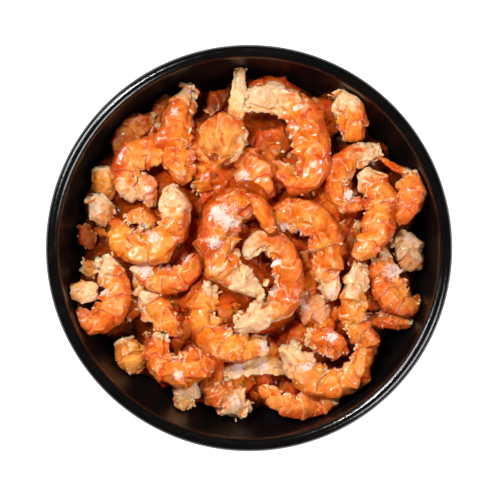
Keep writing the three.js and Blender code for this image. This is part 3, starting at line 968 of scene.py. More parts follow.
class Nodes:
    """Short calls for building a node tree."""

    def __init__(self, tree: bpy.types.NodeTree) -> None:
        """Keeps the tree, empty of nodes."""
        self.tree = tree
        self.tree.nodes.clear()

    def add(self, kind: str, inputs: dict | None = None, **settings: object) -> bpy.types.Node:
        """Adds a node.

        Args:
            kind: the node's type name.
            inputs: values or output sockets for its inputs, by name or number.
            settings: the node's own properties.

        Returns:
            The new node.
        """
        node = self.tree.nodes.new(kind)
        for key, value in settings.items():
            setattr(node, key, value)
        for key, value in (inputs or {}).items():
            if isinstance(value, bpy.types.NodeSocket):
                self.tree.links.new(value, node.inputs[key])
            else:
                node.inputs[key].default_value = value
        return node

    def maths(self, operation: str, *values: object, clamp: bool = False) -> bpy.types.NodeSocket:
        """A Math node's result for values or sockets."""
        inputs = dict(enumerate(values))
        return self.add("ShaderNodeMath", inputs, operation=operation, use_clamp=clamp).outputs[0]

    def plus(self, first: object, second: object, clamp: bool = False) -> bpy.types.NodeSocket:
        """The sum of two values or sockets."""
        return self.maths("ADD", first, second, clamp=clamp)

    def times(self, first: object, second: object, clamp: bool = False) -> bpy.types.NodeSocket:
        """The product of two values or sockets."""
        return self.maths("MULTIPLY", first, second, clamp=clamp)

    def ruffled(self, value: object, noise: object, strength: float) -> bpy.types.NodeSocket:
        """The value plus strength times what the noise is above a half."""
        return self.plus(value, self.times(self.maths("SUBTRACT", noise, 0.5), strength))

    def noise(self, vector: bpy.types.NodeSocket, scale: float, detail: float = 3.0,
              roughness: float = 0.55, distortion: float = 0.0) -> bpy.types.NodeSocket:
        """The value of a Noise Texture.

        Args:
            vector: coordinates in metres.
            scale: features to a metre.
            detail: how many finer layers it has.
            roughness: weight of each finer layer against the one before.
            distortion: how far the coordinates are bent first.

        Returns:
            A value from 0 to 1.
        """
        inputs = {"Vector": vector, "Scale": scale, "Detail": detail, "Roughness": roughness,
                  "Distortion": distortion}
        return self.add("ShaderNodeTexNoise", inputs).outputs["Fac"]

    def ramp(self, value: bpy.types.NodeSocket, low: float, high: float, start: float = 0.0,
             stop: float = 1.0) -> bpy.types.NodeSocket:
        """Value from start to stop as the input goes from low to high, smoothly and held beyond.

        Args:
            value: the input.
            low: input at which the result is start.
            high: input at which the result is stop.
            start: result at low.
            stop: result at high.

        Returns:
            The result.
        """
        inputs = {"Value": value, "From Min": low, "From Max": high, "To Min": start, "To Max": stop}
        return self.add("ShaderNodeMapRange", inputs, interpolation_type="SMOOTHSTEP").outputs[0]

    def mix(self, share: object, first: object, second: object, blend: str = "MIX",
            ) -> bpy.types.NodeSocket:
        """A mixed colour.

        Args:
            share: share of the second colour.
            first: a colour or socket.
            second: a colour or socket.
            blend: how the second is laid on the first.

        Returns:
            The mixed colour.
        """
        node = self.add("ShaderNodeMix", data_type="RGBA", blend_type=blend)
        for number, value in ((0, share), (6, first), (7, second)):
            socket = node.inputs[number]
            if isinstance(value, bpy.types.NodeSocket):
                self.tree.links.new(value, socket)
            elif isinstance(value, tuple):
                socket.default_value = (*value, 1.0)
            else:
                socket.default_value = value
        return node.outputs[2]

    def bent(self, where: bpy.types.NodeSocket, scale: float, detail: float, reach: float,
             ) -> bpy.types.NodeSocket:
        """Coordinates moved by the three values of a noise.

        Args:
            where: the coordinates.
            scale: the noise's features to a metre.
            detail: how many finer layers the noise has.
            reach: how far a noise value of 1 moves them, in metres.

        Returns:
            The moved coordinates.
        """
        shift = self.add("ShaderNodeTexNoise", {"Vector": where, "Scale": scale, "Detail": detail})
        step = self.add("ShaderNodeVectorMath", {0: shift.outputs["Color"], "Scale": reach},
                        operation="SCALE").outputs[0]
        return self.add("ShaderNodeVectorMath", {0: where, 1: step}, operation="ADD").outputs[0]

    def mottled(self, mottle: bpy.types.NodeTree, where: bpy.types.NodeSocket, first: object,
                second: int, scale: float, low: float, high: float, strength: float,
                ) -> bpy.types.NodeSocket:
        """A colour that clouds over into a second one, by the shared group.

        Args:
            mottle: the shared group of cloudy change.
            where: the coordinates.
            first: the colour to change, a code or a socket.
            second: code of the other colour.
            scale: the noise's features to a metre.
            low: noise value below which the first colour is pure.
            high: noise value above which the second has its full share.
            strength: that share.

        Returns:
            The mottled colour.
        """
        base = (*colour(first), 1) if isinstance(first, int) else first
        return self.add("ShaderNodeGroup", {
            "Vector": where, "Colour": base, "Second": (*colour(second), 1), "Scale": scale,
            "Low": low, "High": high, "Strength": strength}, node_tree=mottle).outputs["Colour"]

    def show(self, shader: bpy.types.Node) -> None:
        """Links a shader to a new material output."""
        self.tree.links.new(shader.outputs[0], self.add("ShaderNodeOutputMaterial").inputs[0])


def new_material(name: str) -> tuple[bpy.types.Material, Nodes]:
    """A material and the builder of its nodes.

    Args:
        name: the material's name.

    Returns:
        The material and its nodes, none as yet.
    """
    made = bpy.data.materials.new(name)
    made.use_nodes = True
    return made, Nodes(made.node_tree)


def new_group(name: str, inputs: dict[str, tuple], outputs: dict[str, str],
              ) -> tuple[Nodes, bpy.types.Node, bpy.types.Node]:
    """An empty shader node group with named sockets.

    Args:
        name: the group's name.
        inputs: socket type and value for each input.
        outputs: socket type for each output.

    Returns:
        The nodes' builder, the group's input node and its output node.
    """
    tree = bpy.data.node_groups.new(name, "ShaderNodeTree")
    for label, (kind, value) in inputs.items():
        socket = tree.interface.new_socket(label, in_out="INPUT", socket_type=kind)
        if value is not None:
            socket.default_value = value
    for label, kind in outputs.items():
        tree.interface.new_socket(label, in_out="OUTPUT", socket_type=kind)
    nodes = Nodes(tree)
    return nodes, nodes.add("NodeGroupInput"), nodes.add("NodeGroupOutput")


def mottle_group() -> bpy.types.NodeTree:
    """Cloudy change of a colour: it goes to a second colour where noise is high.

    Returns:
        The group, which gives the mottled colour.
    """
    nodes, given, result = new_group(
        "Mottle",
        {"Vector": ("NodeSocketVector", None), "Colour": ("NodeSocketColor", (1, 1, 1, 1)),
         "Second": ("NodeSocketColor", (1, 1, 1, 1)), "Scale": ("NodeSocketFloat", 500.0),
         "Low": ("NodeSocketFloat", 0.45), "High": ("NodeSocketFloat", 0.65),
         "Strength": ("NodeSocketFloat", 0.5)},
        {"Colour": "NodeSocketColor"},
    )
    sockets = given.outputs
    noise = nodes.add("ShaderNodeTexNoise", {"Vector": sockets["Vector"], "Scale": sockets["Scale"],
                                             "Detail": 4.0, "Roughness": 0.6, "Distortion": 0.8})
    spread = nodes.add("ShaderNodeMapRange", {"Value": noise.outputs["Fac"], "From Min": sockets["Low"],
                                              "From Max": sockets["High"]},
                       interpolation_type="SMOOTHSTEP").outputs[0]
    mask = nodes.times(spread, sockets["Strength"], clamp=True)
    mottled = nodes.mix(mask, sockets["Colour"], sockets["Second"])
    nodes.tree.links.new(mottled, result.inputs["Colour"])
    return nodes.tree


@dataclass(frozen=True)
class FleshFinish:
    """Dried shrimp flesh: waxy and partly clear, with cloudy, creamy and powdery places."""

    name: str
    pale: int = 0xF09C3A
    deep: int = 0xC84404
    cream: int = 0xF6D6AA
    husk: int = 0xE8AE70
    powder: int = 0xF8DCD0
    joint: int = 0xFBDEB0
    crease: int = 0xCC3404
    gloss: float = 0.22
    glow: float = 0.9
    shine: float = 0.3
    pane: float = 1.0
    cloud: float = 0.35
    rim: float = 0.8

    @staticmethod
    def panes(nodes: Nodes, where: bpy.types.NodeSocket, scale: float) -> bpy.types.NodeSocket:
        """A value from 0 to 1 for each bent cell, the same all over the cell.

        Args:
            nodes: the material's nodes.
            where: the pattern's coordinates.
            scale: cells to a metre.

        Returns:
            The cell's value.
        """
        bent = nodes.bent(where, scale * 1.4, 3.0, 1.1 / scale)
        cell = nodes.add("ShaderNodeTexVoronoi", {"Vector": bent, "Scale": scale}).outputs["Color"]
        return nodes.add("ShaderNodeSeparateXYZ", {0: cell}).outputs[0]

    @staticmethod
    def wrinkles(nodes: Nodes, where: bpy.types.NodeSocket, scale: float, low: float,
                 ) -> bpy.types.NodeSocket:
        """Thin lines along the edges of bent cells, only where noise of a like scale is high.

        Args:
            nodes: the material's nodes.
            where: the pattern's coordinates.
            scale: cells to a metre.
            low: noise value from which the lines begin to show.

        Returns:
            1 on the lines and 0 off them.
        """
        bent = nodes.bent(where, scale, 2.0, 0.9 / scale)
        cells = nodes.add("ShaderNodeTexVoronoi", {"Vector": bent, "Scale": scale},
                          feature="DISTANCE_TO_EDGE").outputs["Distance"]
        shown = nodes.ramp(nodes.noise(where, scale * 0.7, 3.0), low, low + 0.14)
        return nodes.times(nodes.ramp(cells, 0.07, 0.01), shown)

    def material(self, mottle: bpy.types.NodeTree) -> bpy.types.Material:
        """Builds the material.

        Args:
            mottle: the shared group of cloudy change.

        Returns:
            The material, which reads the piece's flesh, marks and plates attributes.
        """
        made, nodes = new_material(self.name)
        where = nodes.add("ShaderNodeTexCoord").outputs["Object"]
        flesh = nodes.add("ShaderNodeAttribute", attribute_name="flesh").outputs["Color"]
        marks = nodes.add("ShaderNodeSeparateXYZ", {0: nodes.add(
            "ShaderNodeAttribute", attribute_name="marks").outputs["Vector"]}).outputs
        plates = nodes.add("ShaderNodeAttribute", attribute_name="plates").outputs["Vector"]
        # The third mark is painted shade from depth in the heap
        powder, cream, depth = marks[0], marks[1], marks[2]
        phase, back, _ = nodes.add("ShaderNodeSeparateXYZ", {0: plates}).outputs

        # Small panes of flesh, each a little paler or deeper than the next, at two sizes
        base = nodes.mottled(mottle, where, flesh, self.pale, 420, 0.55, 0.75, self.cloud)
        for scale, share in ((300, 0.32), (800, 0.26)):
            pane = self.panes(nodes, where, scale)
            share *= self.pane
            base = nodes.mix(nodes.ramp(pane, 0.5, 1.0, 0.0, share), base, colour(self.pale))
            base = nodes.mix(nodes.ramp(pane, 0.4, 0.0, 0.0, share), base, colour(self.deep))

        # Joints between plates: a thin pale edge, and a red crease on the back
        wander = nodes.noise(where, 900, 2.0)
        place = nodes.maths("FRACT", nodes.ruffled(phase, wander, 0.10))
        edge = nodes.times(nodes.ramp(place, 0.91, 0.97), nodes.ramp(place, 1.0, 0.985))
        shown = nodes.ramp(nodes.noise(where, 260, 3.0), 0.42, 0.56)
        edge = nodes.times(nodes.times(edge, shown), self.rim)
        edge = nodes.times(edge, nodes.ramp(back, 0.5, -0.5, 0.15, 1.0))
        base = nodes.mix(edge, base, colour(self.joint))
        crease = nodes.times(nodes.ramp(place, 0.14, 0.0), nodes.ramp(back, -0.6, 0.8, 0.25, 1.0))
        crease = nodes.times(crease, nodes.ramp(nodes.noise(where, 300, 2.0), 0.38, 0.55))
        base = nodes.mix(crease, base, colour(self.crease))

        # Dried skin: thin pale wrinkles between small flat faces, and deeper ones among them
        for scale, low, tint, strength in ((420, 0.52, self.joint, 0.5), (620, 0.5, self.deep, 0.5)):
            wrinkle = self.wrinkles(nodes, where, scale, low)
            base = nodes.mix(nodes.times(wrinkle, strength), base, colour(tint))

        # Cream ends and fringes, crumbly, with tan hollows
        crumb = nodes.mottled(mottle, where, self.cream, self.husk, 700, 0.40, 0.66, 0.75)
        grain = nodes.noise(where, 800, 4.0)
        spread = nodes.ramp(nodes.ruffled(cream, grain, 1.3), 0.30, 0.95)
        base = nodes.mix(nodes.times(spread, 0.8), base, crumb)

        # Powder: pinkish white, in flecks that thin out and fade under the painted shade
        fleck = nodes.noise(where, 900, 6.0, 0.78, 0.8)
        spread = nodes.ramp(nodes.ruffled(powder, fleck, 2.6), 0.5, 0.82)
        dust = nodes.times(spread, nodes.maths("SUBTRACT", 1.0, depth))
        base = nodes.mix(nodes.times(dust, 0.88), base, colour(self.powder))

        # Painted shade: deep in the heap the flesh is darker and redder, and the cream less so
        redder = nodes.times(depth, nodes.ramp(cream, 0.0, 1.0, 1.0, 0.4))
        shade = nodes.mix(redder, (1.0, 1.0, 1.0), PAINTED_SHADE_TINT)
        base = nodes.mix(1.0, base, shade, "MULTIPLY")

        # Fine relief: grain, fibres along the plates and chips, all stronger in the cream
        streaks = nodes.add("ShaderNodeMapping", {"Vector": plates, "Scale": (1.2, 7.0, 1.0)}).outputs[0]
        fibre = nodes.noise(streaks, 3.0, 4.0, 0.6)
        height = nodes.plus(nodes.noise(where, 1250, 5.0, 0.65), nodes.times(fibre, 0.5))
        chip = nodes.add("ShaderNodeTexVoronoi", {"Vector": where, "Scale": 850.0}).outputs["Distance"]
        height = nodes.plus(height, nodes.times(chip, 0.6))
        height = nodes.times(height, nodes.plus(nodes.times(cream, 0.5), 0.35))
        bump = nodes.add("ShaderNodeBump", {"Strength": 0.9, "Distance": 0.0003, "Height": height})

        # Gloss in wet-looking places, and duller powder
        rough = nodes.ramp(nodes.noise(where, 500, 3.0), 0.40, 0.65, self.gloss, self.gloss + 0.2)
        rough = nodes.plus(rough, nodes.times(dust, 0.25), clamp=True)
        wet = nodes.ramp(nodes.noise(where, 420, 4.0), 0.44, 0.58, 0.0, self.shine * 2.6)
        shader = nodes.add("ShaderNodeBsdfPrincipled", {
            "Base Color": base, "Roughness": rough, "Normal": bump.outputs[0],
            "Subsurface Weight": self.glow, "Subsurface Scale": 0.0013,
            "Subsurface Radius": (1.0, 0.5, 0.2), "IOR": 1.5,
            "Specular IOR Level": self.shine, "Specular Tint": (1.0, 0.84, 0.62, 1.0),
            "Coat Weight": wet, "Coat Roughness": 0.07, "Coat IOR": 1.5,
        })
        nodes.show(shader)
        return made


@dataclass(frozen=True)
class GlazeFinish:
    """Black glaze: glossy, faintly clouded, with a few pale specks where the lip has worn."""

    name: str = "black_glaze_on_clay"
    black: int = 0x060505
    warm: int = 0x0E0805
    speck: int = 0x3A3836
    gloss: float = 0.09
    dull: float = 0.2

    def material(self, mottle: bpy.types.NodeTree) -> bpy.types.Material:
        """Builds the material, with the shared group of cloudy change.

        The glaze is glossiest on the lip and outside, and duller on the inner wall.

        Args:
            mottle: the shared group.

        Returns:
            The material, which reads the bowl's marks attribute.
        """
        made, nodes = new_material(self.name)
        where = nodes.add("ShaderNodeTexCoord").outputs["Object"]
        clouded = nodes.mottled(mottle, where, self.black, self.warm, 90, 0.4, 0.7, 0.8)
        grain = nodes.noise(where, 1400, 3.0, 0.7)
        specks = nodes.times(nodes.ramp(grain, 0.66, 0.74), 0.5)
        base = nodes.mix(specks, clouded, colour(self.speck))
        cloud = nodes.noise(where, 160, 4.0)
        rough = nodes.ramp(cloud, 0.3, 0.7, self.gloss, self.gloss + 0.1)
        marks = nodes.add("ShaderNodeAttribute", attribute_name="marks").outputs["Vector"]
        inside = nodes.add("ShaderNodeSeparateXYZ", {0: marks}).outputs[0]
        rough = nodes.plus(rough, nodes.times(inside, self.dull))
        wavy = nodes.plus(nodes.noise(where, 240, 2.0), nodes.times(nodes.noise(where, 1800, 2.0), 0.18))
        bump = nodes.add("ShaderNodeBump", {"Strength": 0.2, "Distance": 0.0005, "Height": wavy})
        shader = nodes.add("ShaderNodeBsdfPrincipled", {
            "Base Color": base, "Roughness": rough, "Normal": bump.outputs[0], "IOR": 1.5})
        nodes.show(shader)
        return made


def placed(name: str, data: bpy.types.ID) -> bpy.types.Object:
    """A new object at the scene's origin.

    Args:
        name: the object's name.
        data: the mesh, light or camera that it holds.

    Returns:
        The object.
    """
    made = bpy.data.objects.new(name, data)
    bpy.context.scene.collection.objects.link(made)
    return made


def mesh_object(name: str, surface: Surface, material: bpy.types.Material) -> bpy.types.Object:
    """Makes a smooth-shaded mesh object at the origin, riding on the one body.

    Args:
        name: the piece's name.
        surface: triangles in millimetres, with their attributes.
        material: what to dress it in.

    Returns:
        The new object.
    """
    mesh = bpy.data.meshes.new(name)
    mesh.vertices.add(len(surface.points))
    mesh.vertices.foreach_set("co", (surface.points * MM).astype(np.float32).ravel())
    mesh.loops.add(surface.triangles.size)
    mesh.loops.foreach_set("vertex_index", surface.triangles.astype(np.int32).ravel())
    mesh.polygons.add(len(surface.triangles))
    mesh.polygons.foreach_set("loop_start", np.arange(len(surface.triangles), dtype=np.int32) * 3)
    mesh.update(calc_edges=True)
    mesh.shade_smooth()
    opaque = np.concatenate([surface.flesh, np.ones((len(surface.flesh), 1))], axis=1)
    for label, kind, key, values in (("flesh", "FLOAT_COLOR", "color", opaque),
                                     ("marks", "FLOAT_VECTOR", "vector", surface.marks),
                                     ("plates", "FLOAT_VECTOR", "vector", surface.plates)):
        held = mesh.attributes.new(label, kind, "POINT")
        held.data.foreach_set(key, values.astype(np.float32).ravel())
    mesh.materials.append(material)
    made = placed(name, mesh)
    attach(made, BODY)
    return made


@dataclass
class GlazedBowl:
    """The bowl, turned finely round its axis."""

    turns: int = 224
    wall_steps: int = 40
    lip_steps: int = 24
    foot_steps: int = 6
    floor_steps: int = 10
    foot_ease: float = 0.45

    def profile(self) -> np.ndarray:
        """Outline from the axis under the floor, out, over the lip and down to the axis inside.

        Each wall is a quarter of an ellipse hung from the middle of the lip, where a point at an
        angle lies radius times its sine out and depth times its cosine down. The lip is half a
        circle, and the corners of the foot are rounded by quarter circles.

        Returns:
            Distance from the axis and height of each point, in millimetres.
        """
        inner = FOOT_RADIUS - FOOT_WIDTH
        ease = self.foot_ease
        turn = np.linspace(0, np.pi / 2, self.foot_steps)
        under = [[r, FLOOR_RECESS] for r in np.linspace(0, inner - FOOT_FLARE, self.floor_steps)]
        foot = [[inner + ease - ease * math.cos(t), ease - ease * math.sin(t)] for t in turn]
        foot += [[FOOT_RADIUS - ease + ease * math.sin(t), ease - ease * math.cos(t)] for t in turn]
        start = math.asin((FOOT_RADIUS + FOOT_FLARE) / RIM_RADIUS)
        rise = np.linspace(start, np.pi / 2, self.wall_steps, endpoint=False)
        outside = [self.on_ellipse(RIM_RADIUS, OUTSIDE_DEPTH, t) for t in rise]
        half = LIP_THICKNESS / 2
        over = np.linspace(0, np.pi, self.lip_steps)
        lip = [[RIM_RADIUS - half + half * math.cos(t), LIP_CENTRE_HEIGHT + half * math.sin(t)]
               for t in over]
        fall = np.linspace(np.pi / 2, 0, self.wall_steps + 1)[1:]
        inside = [self.on_ellipse(INSIDE_RADIUS, INSIDE_DEPTH, t) for t in fall]
        return np.array(under + foot + outside + lip + inside)

    @staticmethod
    def on_ellipse(radius: float, depth: float, angle: float) -> list[float]:
        """A point of a half ellipse that hangs from the middle of the lip."""
        return [radius * math.sin(angle), LIP_CENTRE_HEIGHT - depth * math.cos(angle)]

    def build(self, material: bpy.types.Material) -> bpy.types.Object:
        """Turns the outline about the axis, dresses it and lets it stand for the CAD bowl.

        A point lies at its distance times the cosine and sine of the angle. The first mark rises
        from 0 on the lip to 1 on the inner wall.

        Args:
            material: the glaze.

        Returns:
            The bowl.
        """
        outline = self.profile()
        rings = outline[1:-1]
        angle = np.arange(self.turns) / self.turns * 2 * np.pi
        x = rings[:, :1] * np.cos(angle)
        y = rings[:, :1] * np.sin(angle)
        z = np.repeat(rings[:, 1:], self.turns, axis=1)
        points = np.stack([x, y, z], -1).reshape(-1, 3)
        points = np.vstack([[0, 0, outline[0, 1]], points, [0, 0, outline[-1, 1]]])
        triangles = closed_grid(len(rings), self.turns, flipped=False)
        number = np.arange(len(rings))
        inside = smooth_step(-0.4 * self.lip_steps, 0, number - (len(rings) - self.wall_steps))
        inside = np.concatenate([[0], np.repeat(inside, self.turns), [1]])
        marks = np.stack([inside, np.zeros_like(inside), np.zeros_like(inside)], -1)
        blank = np.zeros_like(points)
        made = mesh_object("glazed_bowl", Surface(points, triangles, blank, marks, blank), material)
        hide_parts("bowl")
        return made


@dataclass
class Core:
    """What lies packed under the pieces that show: a lumpy mound that fills the bowl.

    cells: rings over its top.
    sides: vertices in each ring.
    rise: how far the middle stands above the dome, in millimetres.
    sunk: how far below a middle line it stays, as a share of the half height.
    reach: how far it is raised beside a line, as a share of the half width.
    fall: how far it drops at that distance, in millimetres.
    softening: how often its heights are averaged with their neighbours.
    depth: its depth mark, a painted shade that darkens and reddens it.
    shadow: share of its colour darkened as painted shadow at the wall, between shadow_start and
    shadow_end.
    seed: which random lumps.
    """

    cells: int = 120
    sides: int = 200
    rise: float = 5.5
    sunk: float = 0.75
    reach: float = 0.7
    fall: float = 1.2
    softening: int = 5
    depth: float = 0.5
    shadow: float = 0.8
    shadow_start: float = 28.0
    shadow_end: float = 42.0
    seed: int = 401

    def height(self, places: np.ndarray, pieces: dict[str, Tail]) -> np.ndarray:
        """Height of the mound: the dome, raised under each piece to a little below its middle line.

        Under a line the mound's height is the line's less a share of the half width, and it falls
        off with the square of the distance in reaches.

        Args:
            places: x and y in millimetres.
            pieces: the pieces that lie on it.

        Returns:
            Heights in millimetres.
        """
        distance = np.hypot(places[:, 0], places[:, 1])
        height = dome_height(distance) + self.rise * smooth_step(RISE_END, RISE_START, distance)
        for tail in pieces.values():
            half = tail.width / 2 * PLAN_STEP
            reach = self.reach * half
            for point in smooth_line(plan_points(tail.line), 22):
                away = np.hypot(places[:, 0] - point[0], places[:, 1] - point[1])
                lift = point[2] - self.sunk * half * tail.flatness - self.fall * (away / reach) ** 2
                height = np.where(away < 1.6 * self.reach * half, np.maximum(height, lift), height)
        return height

    def build(self, pieces: dict[str, Tail], material: bpy.types.Material) -> bpy.types.Object:
        """Builds the mound as rings over its top and under it along the bowl's inside.

        Each averaging takes half of a height and an eighth of each of its four neighbours. Pebbles
        and noise are added to the heights. The colour is painted shade: one brown times a tone that
        changes with noise, darkened towards the wall as a painted shadow and by its depth mark.

        Args:
            pieces: the pieces that lie on it.
            material: what to dress it in.

        Returns:
            The mound.
        """
        lowest = LIP_CENTRE_HEIGHT - INSIDE_DEPTH + CLEARANCE
        out = np.linspace(0, 1, self.cells + 1)[1:] * (INSIDE_RADIUS - CLEARANCE)
        angle = np.arange(self.sides) / self.sides * 2 * np.pi
        r = np.repeat(out, self.sides)
        a = np.tile(angle, self.cells)
        places = np.stack([r * np.cos(a), r * np.sin(a)], -1)
        top = self.height(places, pieces).reshape(self.cells, self.sides)
        for _ in range(self.softening):
            framed = np.pad(top, ((1, 1), (0, 0)), mode="edge")
            beside = np.roll(top, 1, axis=1) + np.roll(top, -1, axis=1)
            top = top / 2 + (framed[:-2] + framed[2:] + beside) / 8
        spots = np.concatenate([places, top.reshape(-1, 1)], axis=1)
        near, second = pebbles(spots * np.array([1, 1, 0.2]), 4.2, self.seed)
        lumps = layered_noise(spots, 2.2, self.seed + 2, 3) - 0.5
        spots[:, 2] += 1.5 * (0.45 - near) + 1.8 * lumps + 0.5 * smooth_step(0, 0.2, second - near)
        under = np.stack([r * np.cos(a), r * np.sin(a), np.full_like(r, lowest)], -1)
        under = kept_inside(under).reshape(self.cells, self.sides, 3)[::-1].reshape(-1, 3)
        peak = [0, 0, spots[: self.sides, 2].mean()]
        points = np.vstack([peak, kept_inside(spots), under, [0, 0, lowest]])
        number = len(points)
        # Painted shade: a tone that changes with noise, darkened towards the wall
        light = 0.4 + 0.7 * layered_noise(points, 3.0, self.seed + 6, 2)
        distance = np.hypot(points[:, 0], points[:, 1])
        light *= 1 - self.shadow * smooth_step(self.shadow_start, self.shadow_end, distance)
        flesh = np.tile(colour(Shade.BROWN.value), (number, 1)) * light[:, None]
        marks = np.stack([np.zeros(number), np.zeros(number), np.full(number, self.depth)], -1)
        plates = np.stack([np.full(number, BETWEEN_JOINTS), points[:, 1] / 8, points[:, 2] / 8], -1)
        triangles = closed_grid(2 * self.cells, self.sides, flipped=True)
        surface = Surface(points, triangles, flesh, marks, plates)
        made = mesh_object("packed_shrimp_below", surface, material)
        return made


@dataclass
class Scraps:
    """Torn skin along the inner edges and round the head ends, and crumbs between the pieces.

    rings: rings in each sheet, with sides vertices each.
    ends: sheets round each head end.
    thickness: half the thickness of a sheet, in millimetres.
    lengths: least and greatest length along an edge, for a piece with a half width of 4 mm.
    widths: least and greatest width there.
    end_lengths: the same round a head end.
    end_widths: and its widths.
    crumb_rings: rings in each crumb, with crumb_sides vertices each.
    crumb_sizes: least and greatest radius in millimetres.
    """

    rings: int = 6
    sides: int = 10
    ends: int = 5
    thickness: float = 0.16
    lengths: tuple[float, float] = (0.5, 1.4)
    widths: tuple[float, float] = (0.6, 2.2)
    end_lengths: tuple[float, float] = (0.8, 1.8)
    end_widths: tuple[float, float] = (1.0, 2.4)
    crumb_rings: int = 3
    crumb_sides: int = 6
    crumb_sizes: tuple[float, float] = (0.16, 0.5)

    def skins(self, pieces: list[DriedPiece], spacing: float, seed: int) -> Surface:
        """Thin ragged sheets that stand out from the pieces' torn edges.

        A sheet is a flattened closed body that starts inside its piece. Its half width is a share
        of (4b(1 − b)) to the power 0.3, with b from its root to its tip, its edge runs on and back
        by noise, and it curls by the square of b.

        Args:
            pieces: what they grow on.
            spacing: millimetres between sheets along an inner edge.
            seed: which random draw.

        Returns:
            All the sheets in one surface.
        """
        draw = np.random.default_rng(seed)
        rows = []
        for piece in pieces:
            tail = piece.tail
            if tail.torn < 0.5:
                continue
            line = piece.line()
            half = tail.width / 2 * PLAN_STEP
            count = max(3, int(line.length / spacing))
            u = draw.uniform(0.04, 0.96, count)
            forward, side, upper = line.frames(u)
            body = piece.half_width(u)
            inward = -side * piece.bend(line)
            lift = draw.uniform(-0.25, 0.3, count)
            root = line.at(u) + inward * (0.72 * body)[:, None] + upper * (lift * body)[:, None]
            out = (inward + upper * draw.uniform(-0.2, 0.7, count)[:, None]
                   + forward * draw.uniform(-0.5, 0.5, count)[:, None])
            size = np.stack([draw.uniform(*self.lengths, count), draw.uniform(*self.widths, count)], -1)
            rows.append((root, out, forward, upper, size * half / 4))

            # Round the head end, on the upper half of its rim
            ends = self.ends
            angle = draw.uniform(-0.3, np.pi + 0.3, ends)
            forward, side, upper = line.frames(np.full(ends, 0.01))
            rim = half * 0.6
            root = (line.at(np.full(ends, 0.03)) + side * (np.cos(angle) * rim)[:, None]
                    + upper * (np.sin(angle) * rim * tail.flatness * 0.8)[:, None])
            out = (-forward + side * (0.5 * np.cos(angle))[:, None]
                   + upper * draw.uniform(-0.1, 0.5, ends)[:, None])
            along_rim = -side * np.sin(angle)[:, None] + upper * (np.cos(angle) * 0.5)[:, None]
            size = np.stack([draw.uniform(*self.end_lengths, ends),
                             draw.uniform(*self.end_widths, ends)], -1)
            rows.append((root, out, along_rim, upper, size * half / 4))
        return self.sheets(*(np.concatenate(column) for column in zip(*rows)), draw)

    def sheets(self, roots: np.ndarray, outs: np.ndarray, sides: np.ndarray, ups: np.ndarray,
               sizes: np.ndarray, draw: np.random.Generator) -> Surface:
        """The bodies of all the sheets, worked out as one array.

        Args:
            roots: where each starts.
            outs: which way it grows.
            sides: which way it is wide.
            ups: roughly its upper side.
            sizes: length and width of each.
            draw: the random draw.

        Returns:
            One surface of closed bodies.
        """
        number = len(roots)
        outs = outs / np.linalg.norm(outs, axis=1, keepdims=True)
        thick = np.cross(outs, sides)
        thick /= np.maximum(np.linalg.norm(thick, axis=1, keepdims=True), 1e-6)
        thick *= np.sign((thick * ups).sum(axis=1, keepdims=True) + 1e-9)
        wide = np.cross(thick, outs)
        b, turn = ring_grid(self.rings, self.sides)
        key = np.arange(number)[:, None]
        spot = np.stack([np.cos(turn) * 2 + key * 7.7, b * 2 + 0 * key,
                         np.sign(np.sin(turn)) * 0.2 + 0 * key], -1)
        ragged = layered_noise(spot, 0.9, 611, 2) - 0.5
        length, width = sizes[:, :1], sizes[:, 1:]
        x = np.cos(turn) * width / 2 * (4 * b * (1 - b)) ** 0.3 * (1 + 0.9 * ragged)
        y = b * length + ragged * length * 1.1 * b
        curl = draw.uniform(-0.5, 0.7, (number, 1))
        z = np.sin(turn) * self.thickness + curl * length * b**2 * 0.5 + ragged * 0.5
        body = (roots[:, None] + wide[:, None] * x[..., None] + outs[:, None] * y[..., None]
                + thick[:, None] * z[..., None])
        tips = roots + outs * length * 1.02 + thick * curl * length * 0.5
        points = np.concatenate([roots[:, None], body, tips[:, None]], axis=1)
        each = points.shape[1]
        triangles = repeated(closed_grid(self.rings, self.sides, flipped=False), number, each)
        points = points.reshape(-1, 3)
        share = np.concatenate([[0], b[0], [1]])
        blush = draw.uniform(0, 1, number)
        cream = np.clip(np.tile(share, number) * 1.2 + np.repeat(blush, each) * 0.5 - 0.1, 0, 1)
        powder = np.repeat(draw.choice((0.0, 0.0, 0.4), number), each) * np.tile(share, number)
        light = np.repeat(0.8 + 0.3 * blush, each)
        flesh = np.tile(colour(Shade.AMBER.value), (len(points), 1)) * light[:, None]
        marks = np.stack([powder, cream, np.zeros(len(points))], -1)
        plates = np.stack([np.full(len(points), BETWEEN_JOINTS), np.zeros(len(points)),
                           points[:, 0] / 10], -1)
        return Surface(kept_inside(points), triangles, flesh, marks, plates)

